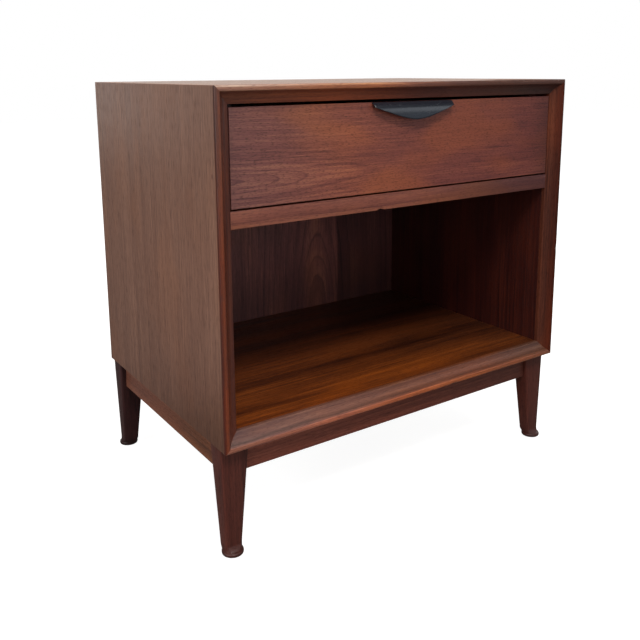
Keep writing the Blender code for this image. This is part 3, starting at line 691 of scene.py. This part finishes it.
def left_shade(graph):
    """The left edging is darker and redder towards the floor, and its hollow is darkened, a painted shade,
    as a face turned from the light.
    """
    height = up_case(graph)
    flat = graph.ramp(height, [(0.0, (0.84, 0.64, 0.5)), (0.55, (0.94, 0.7, 0.52)), (0.8, 0.92)])
    # painted shade in the hollow, which faces away from the light
    hollow = graph.ramp(height, [(0.0, (0.64, 0.5, 0.5)), (1.0, (0.68, 0.62, 0.68))])
    return graph.tint(dirt_shade(graph), flat_or_hollow(graph, flat, hollow))


def right_shade(graph):
    """The right edging is lighter towards the opening, a painted highlight along its inner arris."""
    depth = graph.share(graph.y, FRONT, FRONT + COVE_DEPTH)
    # painted highlight, strongest at the inner arris beside the opening
    stops = [(0.05, (1.05, 0.95, 0.8)), (0.45, (1.2, 1.25, 1.2)), (0.75, (1.6, 2.05, 2.1))]
    return graph.tint(dirt_shade(graph), graph.ramp(depth, stops))


def top_shade(graph):
    """Painted light on the top edging: its flat and upper arris are lightened as lit, most of all at its
    left, and painted shade darkens the flat and the hollow towards the right.
    """
    side = along_front(graph)
    # painted light on the flat, strongest at the left, turning to painted shade at the right
    flat = graph.ramp(side, [
        (0.05, (2.05, 3.25, 4.0)), (0.25, (2.2, 2.55, 2.15)),
        (0.38, (2.2, 2.25, 1.55)), (0.48, (1.25, 1.38, 1.4)),
        (0.68, (0.48, 0.56, 0.66)),
    ])
    # painted shade in the hollow, deepest at the right
    hollow = graph.ramp(side, [
        (0.05, (0.98, 0.9, 0.82)), (0.25, (1.45, 1.04, 0.64)),
        (0.42, (0.93, 0.64, 0.46)), (0.56, (0.52, 0.43, 0.58)),
        (0.85, (0.3, 0.38, 0.58)),
    ])
    # painted highlight on the upper arris, at the left only
    high = graph.spread(graph.z, CASE_TOP - 0.003, CASE_TOP - 0.0012)
    lit = graph.times(high, graph.spread(side, 0.38, 0.5, 1.0, 0.0))
    arris = graph.ramp(lit, [(0.0, 1.0), (1.0, (1.45, 2.1, 2.7))])
    return graph.tint(flat_or_hollow(graph, flat, hollow), arris)


def sill_shade(graph):
    """Painted light on the bottom edging: it is lightened as lit from above, greyer at its left with a
    painted sheen and browner at its right, and wavering stripes of painted light and shade run along it.
    """
    side = along_front(graph)
    # painted light on the flat, with a grey painted sheen at the left
    flat = graph.ramp(side, [
        (0.05, (1.35, 1.75, 2.2)), (0.25, (2.2, 2.5, 2.8)),
        (0.48, (2.2, 2.0, 1.25)), (0.72, (1.7, 1.6, 0.95)),
        (0.9, (0.92, 1.06, 1.1)),
    ])
    # painted light in the hollow, greyer at the left
    hollow = graph.ramp(side, [
        (0.05, (0.84, 1.26, 1.95)), (0.25, (0.95, 1.25, 1.62)),
        (0.48, (0.98, 1.05, 0.92)), (0.72, (1.0, 0.95, 0.72)),
        (0.9, (0.62, 0.78, 0.82)),
    ])
    # wavering stripes of painted light and shade along the hollow's curve
    waver = graph.noise(graph.vector(graph.times(graph.x, 9.0), 0.0, 0.0), 2.0, 0.5)
    depth = graph.sway(waver, 0.006, graph.y)
    stripes = graph.ramp(graph.share(depth, FRONT, FRONT + COVE_DEPTH), [
        (0.2, (1.3, 1.22, 1.16)), (0.33, (0.7, 0.62, 0.54)),
        (0.46, (0.8, 0.74, 0.68)), (0.62, (1.08, 1.06, 1.06)),
        (1.0, (0.94, 0.96, 1.04)),
    ])
    return graph.tint(flat_or_hollow(graph, flat, hollow), stripes)


def apron_shade(graph):
    """The front apron is lightened, most of all towards the left: painted light."""
    # painted light, strongest at the left
    stops = [(0.0, (2.2, 2.5, 2.4)), (0.5, (1.75, 1.8, 1.6)), (1.0, (1.15, 1.35, 1.35))]
    return graph.ramp(along_front(graph), stops)


def side_apron_shade(graph):
    """The side aprons are as brown as the sides above them."""
    back = graph.share(graph.y, FRONT, REAR)
    return graph.ramp(back, [(0.25, (1.82, 2.5, 1.6)), (0.7, (2.1, 3.15, 2.9))])


def leg_shade(graph):
    """The toes are darkened near the floor, a painted shade, and the rear legs are darker, painted shade
    under the case as well as darker wood.
    """
    # painted shade on the toes, near the floor
    toe = graph.ramp(graph.spread(graph.z, 0.004, 0.02), [(0.0, (0.55, 0.49, 0.49)), (1.0, 1.0)])
    # painted shade under the case, with darker wood, on the rear legs
    rear = graph.ramp(graph.spread(graph.y, -0.05, 0.05), [(0.0, 1.0), (1.0, (0.38, 0.42, 0.62))])
    return graph.tint(toe, rear)


def strip_shade(graph):
    """The divider's strip darkens towards the right: painted shade."""
    # painted shade, deepening towards the right
    stops = [(0.0, (0.88, 0.94, 0.96)), (0.5, 0.82), (0.75, (0.5, 0.52, 0.64)), (1.0, (0.38, 0.4, 0.55))]
    return graph.ramp(along_opening(graph), stops)


def floor_shade(graph):
    """The compartment's floor carries painted light: it is lightest a little behind its front edge, and
    painted shade darkens it deeper in and at its right.
    """
    # painted light behind the front edge, painted shade further back
    depth = graph.ramp(graph.share(graph.y, FRONT, FRONT + 0.2), [
        (0.09, (0.85, 0.68, 0.45)), (0.22, (1.25, 1.1, 0.8)),
        (0.36, (1.25, 1.12, 0.95)), (0.62, (0.86, 0.78, 0.84)),
        (1.0, (0.74, 0.64, 0.74)),
    ])
    # painted shade towards the right
    stops = [(0.25, 1.0), (0.5, 0.88), (0.7, (0.62, 0.64, 0.78)), (0.95, (0.52, 0.56, 0.8))]
    return graph.tint(depth, graph.ramp(along_opening(graph), stops))


def seam_and_painted_shade(graph):
    """Two leaves of veneer meet on the back panel at a dark seam line. The right one is darker, its own tone
    with painted shade of the corner by the right wall, and painted shade darkens the foot of both.
    """
    away = graph.minus(graph.x, BACK_SEAM)
    # the right leaf is darker: its own tone, and painted shade of the corner by the right wall
    leaf = graph.ramp(graph.spread(away, -0.0003, 0.0003), [(0.0, 1.0), (1.0, (0.42, 0.38, 0.42))])
    line = graph.spread(graph.math("ABSOLUTE", away), 0.0003, 0.0009, 0.35, 1.0)
    # painted shade at the foot of the back panel
    height = graph.spread(graph.z, CASE_BOTTOM + BOARD, CASE_BOTTOM + 0.15, 0.62, 1.0)
    return graph.tint(leaf, line, height)


def front_shade(graph):
    """The drawer front goes from purplish brown at its left through orange brown to red brown; painted shade
    darkens it towards the right, and it is darker still at its very right end.
    """
    return graph.ramp(along_opening(graph), [
        (0.0, (0.72, 0.92, 1.24)), (0.12, (0.8, 0.92, 1.12)),
        (0.32, (1.04, 1.0, 0.92)), (0.55, (0.8, 0.71, 0.8)),
        (0.92, (0.7, 0.6, 0.68)), (1.0, (0.42, 0.38, 0.44)),
    ])


def case_woods(side):
    """The outer veneer, inner veneer and edging of one board of the case."""
    if side == "left":
        outer = wood("veneer_left", SIDE_WALNUT, "zyx", (0.62, 0.1), seed=1.3, warp=0.005, shade=side_shade)
        inner = wood("inner_left", SHADED_WALL_WALNUT, "zyx", (0.4, 0.1), seed=2.4, warp=0.005)
        look, seed, shade = SOLID_WALNUT, 9.4, left_shade
    elif side == "right":
        outer = wood("veneer_right", SIDE_WALNUT, "zyx", (0.58, 0.1), seed=6.1, warp=0.005, shade=side_shade)
        inner = wood("inner_right", SHADED_WALL_WALNUT, "zyx", (0.44, 0.1), seed=7.9, warp=0.005)
        look, seed, shade = SHADED_SOLID_WALNUT, 3.9, right_shade
    elif side == "top":
        outer = wood("veneer_top", LIT_TOP_WALNUT, "xyz", (-0.07, -0.56), (0.02, 0.06, 0.3), seed=8.8, warp=0.01)
        inner = wood("inner_top", SHADED_WALL_WALNUT, "xyz", (0.44, 0.1), seed=5.5, warp=0.005)
        look, seed, shade = SOLID_WALNUT, 0.6, top_shade
    else:
        outer = wood("veneer_under", SIDE_WALNUT, "xyz", (0.4, 0.05), seed=4.7, warp=0.01)
        arched = (0.01, 0.02, 0.2)
        inner = wood("inner_floor", FLOOR_WALNUT, "xyz", (0.33, 0.05), arched, 4.7, 0.01, floor_shade)
        look, seed, shade = SOLID_WALNUT, 5.2, sill_shade
    grain = "xyz" if side in SPLINED else "zyx"
    edging = wood("edging_" + side, look, grain, (0.02, 0.9), seed=seed, warp=0.004, shade=shade)
    return outer, inner, edging


def make_case():
    """The four mitred boards and their solid edging."""
    core = wood("lumber_core", PLY_FACE, "xyz", (0.4, 0.02), seed=2.2)
    outline = board_outline()
    points, weights = edging_outline()
    for side in ("left", "right", "top", "bottom"):
        outer, inner, edging = case_woods(side)
        nodes = [side + "_side_panel"]
        if side in SPLINED:
            nodes = [side + "_panel", f"mitre_spline_{side}_left", f"mitre_spline_{side}_right"]
        board = member(side, outline)
        board = make_piece("veneered_" + side, board, "case", "walnut_veneer", outer, *nodes)
        board.data.materials.append(inner)
        board.data.materials.append(core)
        for face in board.data.polygons:
            x, y, z = face.center
            inset = min(HALF_WIDTH - abs(x), z - CASE_BOTTOM, CASE_TOP - z)
            if inset < ARRIS:
                continue
            if y > FRONT + BACK_DEPTH - ARRIS:
                face.material_index = 2
            elif inset > BOARD - ARRIS:
                face.material_index = 1

        frame_edge = member(side, points, EDGING_SECTIONS, wear_of(side, weights))
        make_piece(side + "_edging", frame_edge, "case", "walnut_solid", edging, side + "_front_edging")


def bar(front, back, low, high, radius, sections, worn=None):
    """A bar across the opening with softened long edges. worn(x) wears its lower front arris."""
    reach = INNER_HALF - JOINT
    points = rounded([(front, low), (back, low), (back, high), (front, high)], (radius,) * 4)
    rings = []
    for i in range(sections + 1):
        x = between(-reach, reach, i / sections)
        ring = []
        for y, z in points:
            wear = worn(x) if worn and y < front + 2 * radius and z < low + 2 * radius else 0.0
            ring.append((x, y + wear * 0.5, z + wear))
        rings.append(ring)
    return loft(rings)


def make_divider():
    """The divider with its solid edging, which has a small chip in its lower arris."""

    def chipped(x):
        chip = max(0.0, 1 - ((x - CHIP_X) / CHIP_HALF) ** 2) * CHIP_DEPTH
        return chip + WORN * (0.5 + 0.5 * noise.noise(Vector((x * 31, 1.7, 0.2))))

    low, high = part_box("divider_edging")
    lip = bar(low.y, high.y, low.z, high.z, 0.0008, DIVIDER_SECTIONS, chipped)
    material = wood("divider_edge_wood", STRIP_WALNUT, "xzy", (0.6, 0.04), seed=7.7, shade=strip_shade)
    make_piece("divider_lip", lip, "case", "walnut_solid", material, "divider_edging")
    board = bar(high.y + JOINT, FRONT + BACK_DEPTH, low.z, high.z, 0.0003, 1)
    material = wood("divider_wood", FLOOR_WALNUT, "xyz", (0.3, 0.05), seed=12.3, warp=0.008)
    make_piece("divider_board", board, "case", "walnut_veneer", material, "divider_panel")


def make_back():
    """The back panel: figured veneer inside, plain ply on its rear."""
    arch = (0.06, 0.155, 0.22)
    inside = wood("back_veneer", INNER_WALNUT, "zxy", (0.1, -0.187), arch, 2.9, 0.01, seam_and_painted_shade)
    arch = (0.04, 0.2, 0.3)
    rear = wood("back_ply", PLY_BACK, "zxy", (-0.06, -0.17), arch, seed=9.2, warp=0.014)
    back = soften_node("back_panel", inside)
    back.data.materials.append(rear)
    for face in back.data.polygons:
        if face.center.y > FRONT + BACK_DEPTH + VENEER:
            face.material_index = 1


def make_guides():
    """Rail, stops and kickers inside the case."""
    nodes = ("guide_rail", "stop_left", "stop_right", "kicker_left", "kicker_right")
    for index, node in enumerate(nodes):
        grain = "xyz" if "stop" in node else "yxz"
        look = SHADED_WALL_WALNUT if "kicker" in node else PALE_WOOD
        material = wood(f"drawer_{node}_wood", look, grain, (0.3, 0.05), seed=index * 2.7)
        soften_node("drawer_" + node, material)


# ---- drawer


def make_drawer():
    """The drawer's boards; its dovetails come from the CAD nodes."""
    arch = (0.027, -0.285, 0.22)
    front = wood("drawer_front_wood", FRONT_WALNUT, "xzy", (0.487, 0.193), arch, 5.1, 0.01, front_shade)
    soften_node("drawer_front", front, 0.0006, 3)
    for index, side in enumerate(("left", "right")):
        board = wood(f"drawer_side_{side}_wood", PALE_WOOD, "yzx", (0.3, 0.05), seed=3.3 + index * 4.1)
        soften_node("drawer_side_" + side, board)
        strip = wood(f"guide_strip_{side}_wood", PALE_WOOD, "yxz", (0.3, 0.05), seed=8.3 + index * 1.9)
        soften_node("drawer_guide_strip_" + side, strip)
    soften_node("drawer_back", wood("drawer_back_wood", PALE_WOOD, "xzy", (0.4, 0.05), seed=6.6))
    bottom = wood("drawer_bottom_wood", PLY_FACE, "xyz", (0.02, -0.44), (0.03, 0.1, 0.3), seed=9.9)
    soften_node("drawer_bottom", bottom)


# ---- pull


def pull_share(u):
    """1 at the middle of the pull and 0 at its tips, with straight flanks and a blunt middle."""
    blunt = PULL_ROUNDNESS
    far = sqrt(1 + blunt * blunt)
    return (far - sqrt(u * u + blunt * blunt)) / (far - blunt)


def pull_front(down, full_drop, full_reach):
    """How far the pull's face stands out at a drop below its top: it flares, then turns upright."""
    share = (1 - exp(-down / PULL_CURL)) / (1 - exp(-full_drop / PULL_CURL))
    return between(PULL_TOP_FORWARD, full_reach, share)


def pull_section(u, full_drop, full_reach):
    """(forward, down) outline of the pull at u, from -1 to 1 along its length."""
    share = pull_share(u)
    past = max(0.0, (abs(u) - 1 + PULL_TIP_ROUND) / PULL_TIP_ROUND)
    tip = sqrt(max(0.25, 1 - past * past))
    drop = between(PULL_TIP_DROP, full_drop, share)
    behind = between(PULL_TIP_BACK, PULL_BACK, share)
    top = drop * (1 - tip) * PULL_TIP_TRIM
    low = drop - top
    lip = low - PULL_METAL * 0.3

    def face(down):
        return pull_front(down, full_drop, full_reach) * (0.8 + 0.2 * tip)

    outline = [(0.0, top)]
    for i in range(PULL_SECTION_STEPS + 1):
        down = between(top, lip, i / PULL_SECTION_STEPS)
        outline.append((face(down), down))
    outline.append((face(lip) - PULL_METAL * 0.2, low))
    outline.append((face(lip) - PULL_METAL * 0.8, low))
    for i in range(PULL_SECTION_STEPS, -1, -1):
        down = between(behind, lip, i / PULL_SECTION_STEPS)
        hollow = min(1.0, 4 * i / PULL_SECTION_STEPS)
        outline.append((max(0.0, face(down) - PULL_METAL) * hollow, down))
    return outline


def make_pull():
    """The black leaf-shaped pull."""
    low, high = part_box("drawer_pull")
    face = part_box("drawer_front")[0].y
    rings = []
    for i in range(PULL_STEPS + 1):
        u = -cos(pi * i / PULL_STEPS)
        section = pull_section(u, high.z - low.z, face - low.y)
        rings.append([(u * high.x, face - forward, high.z - down) for forward, down in section])

    graph = Graph("satin_black")
    mottle = graph.noise(graph.place, 4.0, 0.6, scale=160.0)
    scuffs = graph.add("Mapping", {0: graph.place, "Scale": (90.0, 600.0, 600.0)}).outputs[0]
    worn = graph.spread(graph.noise(scuffs, 3.0, 0.7), 0.6, 0.74)
    # The black is tinted blue: the paint's own tone, and a painted bluish reflection of the surroundings.
    colour = graph.mix(worn, rgb(27, 30, 39), rgb(52, 54, 61))
    rough = graph.plus(graph.line(mottle, 0.14, graph.times(worn, 0.1)), 0.17)
    shader = {"Base Color": colour, "Roughness": rough, "Specular IOR Level": 0.6}
    material = graph.finish(shader, mottle, 0.00008, 0.25)
    make_piece("leaf_pull", loft(rings), "drawer", "pull_black", material, "drawer_pull", angle=50)


# ---- base


def ring_points(centre, half, radius):
    """Points round a rectangle with round corners; a full radius makes a circle."""
    points = []
    for quarter, (sx, sy) in enumerate(((1, 1), (-1, 1), (-1, -1), (1, -1))):
        for i in range(CORNER_STEPS):
            angle = radians(90 * (quarter + (i + 0.5) / CORNER_STEPS))
            x = centre[0] + sx * (half[0] - radius) + radius * cos(angle)
            y = centre[1] + sy * (half[1] - radius) + radius * sin(angle)
            points.append((x, y))
    return points


def leg_rings(inset):
    """(inset from the side, inset from the front or rear, height) rings of a leg, from its toe up."""
    ankle = (LEG_INSET_ANKLE + ANKLE_WIDTH / 2, inset + ANKLE_DEPTH / 2)
    ankle_half = (ANKLE_WIDTH / 2, ANKLE_DEPTH / 2)
    toe = (ankle[0] - TOE_SIDE_STEP, ankle[1] - TOE_STEP_OUT)
    rings = []

    def add_ring(centre, half, radius, height):
        rings.append([(x, y, height) for x, y in ring_points(centre, half, radius)])

    for step in range(TOE_STEPS + 1):
        turn = pi * step / TOE_STEPS - pi / 2
        shrink = (TOE_UPPER if turn > 0 else TOE_LOWER) * (1 - cos(turn))
        radius = TOE_RADIUS - shrink
        centre = (toe[0], toe[1] + shrink) if turn > 0 else toe
        add_ring(centre, (radius, radius), radius, SOLE + TOE_RIM / 2 * (1 + sin(turn)))
    start = TOE_RADIUS - TOE_UPPER
    toe = (toe[0], toe[1] + TOE_UPPER)
    for step in range(1, SWEEP_STEPS + 1):
        share = step / SWEEP_STEPS
        keep = (1 - share) ** SWEEP_POWER
        half = between(ankle_half, (start, start), keep)
        height = between(SOLE + TOE_RIM, ANKLE_HEIGHT, share)
        add_ring(between(ankle, toe, keep), half, between(LEG_CORNER, start, keep), height)
    top = (LEG_INSET_TOP + LEG_TOP_WIDTH / 2, inset + LEG_TOP_DEPTH / 2)
    top_half = (LEG_TOP_WIDTH / 2, LEG_TOP_DEPTH / 2)
    for step in range(1, LEG_STEPS + 1):
        share = step / LEG_STEPS
        height = between(ANKLE_HEIGHT, CASE_BOTTOM - JOINT, share)
        add_ring(between(ankle, top, share), between(ankle_half, top_half, share), LEG_CORNER, height)
    return rings


def leg_inset(front):
    """How far a leg's ankle stands behind the case's front or rear plane, from its CAD glide."""
    low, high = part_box("glide_front_left" if front else "glide_rear_left")
    centre = (low.y + high.y) / 2
    toe = centre - FRONT if front else REAR - centre
    return toe + TOE_STEP_OUT - ANKLE_DEPTH / 2


def make_legs():
    """Four tapered legs with rounded arrises and round toes."""
    for index, corner in enumerate(CORNERS):
        front = corner.startswith("front")
        side = -1 if corner.endswith("left") else 1

        def place(x, y, z):
            return (side * (HALF_WIDTH - x), FRONT + y if front else REAR - y, z)

        rings = [[place(*point) for point in ring] for ring in leg_rings(leg_inset(front))]
        seed = 1.9 + index * 3.7
        material = wood(
            f"leg_{corner}_wood", LEG_WALNUT, "zxy", (0.9, 0.2), seed=seed, warp=0.003, shade=leg_shade
        )
        make_piece(corner + "_leg", loft(rings), "case", "walnut_solid", material, "leg_" + corner, angle=40)


def apron_rings(low, high, axis):
    """Sections of an apron that runs along an axis, from its outer face to its inner one."""
    taper = LEG_TOP_DEPTH - ANKLE_DEPTH
    if axis == 0:
        taper = LEG_TOP_WIDTH - ANKLE_WIDTH - LEG_INSET_ANKLE + LEG_INSET_TOP
    slope = taper / (CASE_BOTTOM - ANKLE_HEIGHT)
    middle = (low.z + high.z) / 2
    near, far = low[axis] + APRON_TENON, high[axis] - APRON_TENON
    outer, inner = low[1 - axis], high[1 - axis]
    rings = []
    for depth, shrink in ((outer, ARRIS), (outer + ARRIS, 0), (inner - ARRIS, 0), (inner, ARRIS)):
        ring = []
        for end, up in SQUARE:
            height = low.z if up < 0 else CASE_BOTTOM
            grow = slope * (middle - height) + APRON_BITE
            place = far + grow if end > 0 else near - grow
            height += shrink if up < 0 else -JOINT
            ring.append((depth, place, height) if axis else (place, depth, height))
        rings.append(ring)
    return rings


def make_aprons():
    """The rails of the base, which end on the legs' tapered faces."""
    shades = {"front": apron_shade, "rear": None, "left": side_apron_shade, "right": side_apron_shade}
    for index, (name, shade) in enumerate(shades.items()):
        axis = 0 if name in ("front", "rear") else 1
        rings = apron_rings(*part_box(name + "_apron"), axis)
        grain, seed = ("xzy", "yzx")[axis], 4.4 + index * 2.3
        material = wood(
            name + "_apron_wood", LEG_WALNUT, grain, (0.4, 0.1), seed=seed, warp=0.004, shade=shade
        )
        make_piece(name + "_rail", loft(rings), "case", "walnut_solid", material, name + "_apron")


def make_corner_blocks():
    """The blocks behind the legs."""
    for index, corner in enumerate(CORNERS):
        block = wood(f"block_{corner}_wood", PALE_WOOD, "xyz", (0.4, 0.1), seed=index * 5.3)
        soften_node("corner_block_" + corner, block, 0.0008)


# ---- hardware


def speckled(name, scale, dark, light, roughness, bump, metallic=0.0):
    """A material that a fine noise makes uneven. roughness is its range and its least value."""
    graph = Graph(name)
    grain = graph.noise(graph.place, 3.0, 0.6, scale=scale)
    colour = graph.ramp(grain, [(0.3, rgb(*dark)), (0.7, rgb(*light))])
    rough = graph.line(grain, *roughness)
    shader = {"Base Color": colour, "Metallic": metallic, "Roughness": rough}
    return graph.finish(shader, grain, bump, 0.3)


def make_screw(name, axis, outwards, body, material):
    """A slotted screw on the place of its CAD node. Its head lies on the outwards side of the axis."""
    low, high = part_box(name)
    centre = (low + high) / 2
    others = [i for i in range(3) if i != axis]
    radius = max(high[i] - low[i] for i in others) / 2
    rise = radius * SCREW_RISE
    shank = radius * SCREW_SHANK
    seat = high[axis] - rise if outwards > 0 else low[axis] + rise
    length = high[axis] - low[axis] - rise
    profile = [(radius * cos(a), rise * sin(a)) for a in (1.25, 1.0, 0.75, 0.5, 0.25, 0.0)]
    profile += [(shank, 0.0), (shank, SCREW_TIP - length), (shank * 0.3, -length)]

    def place(a, b, h):
        point = centre.copy()
        point[axis] = seat + outwards * h
        point[others[0]] += a
        point[others[1]] += b
        return point

    turns = [2 * pi * i / SCREW_SIDES for i in range(SCREW_SIDES)]
    screw = loft([[place(r * cos(t), r * sin(t), h) for t in turns] for r, h in profile])
    screw = make_piece(name + "_slotted", screw, body, "screw_steel", material, name)
    spin = Matrix.Rotation(sum(map(ord, name)) % 7 * 0.45, 2)
    corners = [spin @ Vector((x * radius * 1.2, y * SLOT_WIDTH / 2)) for x, y in SQUARE]
    slot = loft([[place(*corner, h) for corner in corners] for h in (rise - SLOT_DEPTH, rise + 0.001)])
    cut_slot(screw, solid_object(name + "_slot", slot))


def cut_slot(screw, cutter):
    """Takes the cutter out of the screw's head."""
    modifier = screw.modifiers.new("slot", "BOOLEAN")
    modifier.object = cutter
    modifier.operation = "DIFFERENCE"
    bpy.context.view_layer.update()
    cut = bpy.data.meshes.new_from_object(screw.evaluated_get(bpy.context.evaluated_depsgraph_get()))
    screw.modifiers.clear()
    screw.data = cut
    cut.shade_smooth()
    cut.set_sharp_from_angle(angle=radians(35))
    bpy.data.objects.remove(cutter)


def make_screws():
    """All screws: which way each kind points, and the body it rides on."""
    zinc = speckled("dull_zinc", 900.0, (150, 144, 132), (198, 194, 184), (0.25, 0.25), 0.00003, 1.0)
    kinds = {
        "back_screw": (1, 1, "case"),
        "base_screw": (2, -1, "case"),
        "pull_screw": (1, 1, "drawer"),
        "drawer_bottom_screw": (2, -1, "drawer"),
    }
    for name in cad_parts:
        for kind, (axis, outwards, body) in kinds.items():
            if name.startswith(kind):
                make_screw(name, axis, outwards, body, zinc)


def make_glides():
    """Moulded glides under the toes."""
    nylon = speckled("moulded_nylon", 700.0, (48, 42, 38), (66, 58, 52), (0.2, 0.45), 0.00005)
    for corner in CORNERS:
        soften_node("glide_" + corner, nylon, 0)


# ---- stage


def make_camera():
    """The camera at the photograph's viewing angle."""
    camera = add_object("camera", bpy.data.cameras.new("camera"))
    camera.data.sensor_width = SENSOR
    camera.data.lens = FOCAL * SENSOR / IMAGE
    camera.data.shift_y = -SHIFT / IMAGE
    turn = (
        Matrix.Rotation(radians(-YAW), 3, "Z")
        @ Matrix.Rotation(radians(90 - PITCH), 3, "X")
        @ Matrix.Rotation(radians(ROLL), 3, "Z")
    )
    camera.location = EYE
    camera.rotation_euler = turn.to_euler()
    bpy.context.scene.camera = camera


def softbox(name, place, target, size, radiance, colour):
    """A rectangular area light of even radiance at a place, aimed at a target."""
    data = bpy.data.lights.new(name, "AREA")
    data.shape = "RECTANGLE"
    data.size, data.size_y = size
    data.energy = radiance * pi * size[0] * size[1]
    data.color = colour
    lamp = add_object(name, data)
    lamp.location = place
    aim = Vector(target) - Vector(place)
    lamp.rotation_euler = aim.to_track_quat("-Z", "Y").to_euler()
    lamp.visible_camera = False


def make_floor():
    """A pale floor. It looks brighter than the light it throws back under the object."""
    rings = [[(x * FLOOR_HALF, y * FLOOR_HALF, z) for x, y in SQUARE] for z in (-0.02, 0.0)]
    floor = solid_object("floor", loft(rings))
    graph = Graph("pale_floor")
    seen = graph.add("LightPath").outputs["Is Camera Ray"]
    distance = graph.add("VectorMath", {0: graph.place}, operation="LENGTH").outputs["Value"]
    strength = graph.spread(distance, 0.45, 1.5, FLOOR_GLOW, 1.0)
    glow = graph.add("Emission", {"Color": WHITE, "Strength": strength})
    pale = graph.add("BsdfDiffuse", {"Color": FLOOR_PALE})
    dim = graph.add("BsdfDiffuse", {"Color": FLOOR_BOUNCE})
    both = graph.add("AddShader", {0: glow.outputs[0], 1: pale.outputs[0]})
    surface = graph.add("MixShader", {0: seen, 1: dim.outputs[0], 2: both.outputs[0]})
    graph.add("OutputMaterial", {"Surface": surface.outputs[0]})
    floor.data.materials.append(graph.owner)


def make_surround():
    """A white surround that itself lights the object only a little."""
    graph = Graph("surround", "worlds")
    seen = graph.add("LightPath").outputs["Is Camera Ray"]
    strength = graph.spread(seen, 0.0, 1.0, SURROUND_LIGHT)
    background = graph.add("Background", {"Color": WHITE, "Strength": strength})
    graph.add("OutputWorld", {"Surface": background.outputs[0]})
    bpy.context.scene.world = graph.owner


def make_stage():
    """The floor, the surround and the soft lights."""
    make_floor()
    make_surround()
    softbox("key", (-0.89, -1.92, 2.7), (0, 0, 0.3), (0.65, 0.65), 27.0, CANDLE)
    softbox("front", (-0.5, -3, 0.85), (0, 0, 0.3), (2.6, 1.1), 1.9, WARM)
    softbox("window", (2.3, -2.3, 1.9), (0, 0, 0.4), (1.1, 1.3), 1.6, (0.86, 0.93, 1))
    softbox("sky", (2.2, -2.9, 0.75), (0, 0, 0.4), (1.8, 0.9), 0.55, (0.72, 0.86, 1))
    softbox("left", (-3.3, -0.5, 1.2), (-0.3, 0, 0.35), (2.6, 1.8), 4.4, WARM)
    softbox("right", (3.3, 0.3, 1.2), (0.3, 0, 0.35), (2.2, 1.6), 2.0, WARM)
    softbox("overhead", (0, -0.8, 3), (0, -0.8, 0.6), (3.2, 3), 1.75, (1, 0.96, 0.91))
    softbox("backdrop", (0.6, 3.4, 1.5), (0, 0, 0.6), (6, 2.6), 0.92, CANDLE)
    bpy.context.scene.view_settings.view_transform = "Standard"


# ---- assembly

make_camera()
make_stage()
make_case()
make_divider()
make_back()
make_guides()
make_drawer()
make_pull()
make_legs()
make_aprons()
make_corner_blocks()
make_screws()
make_glides()
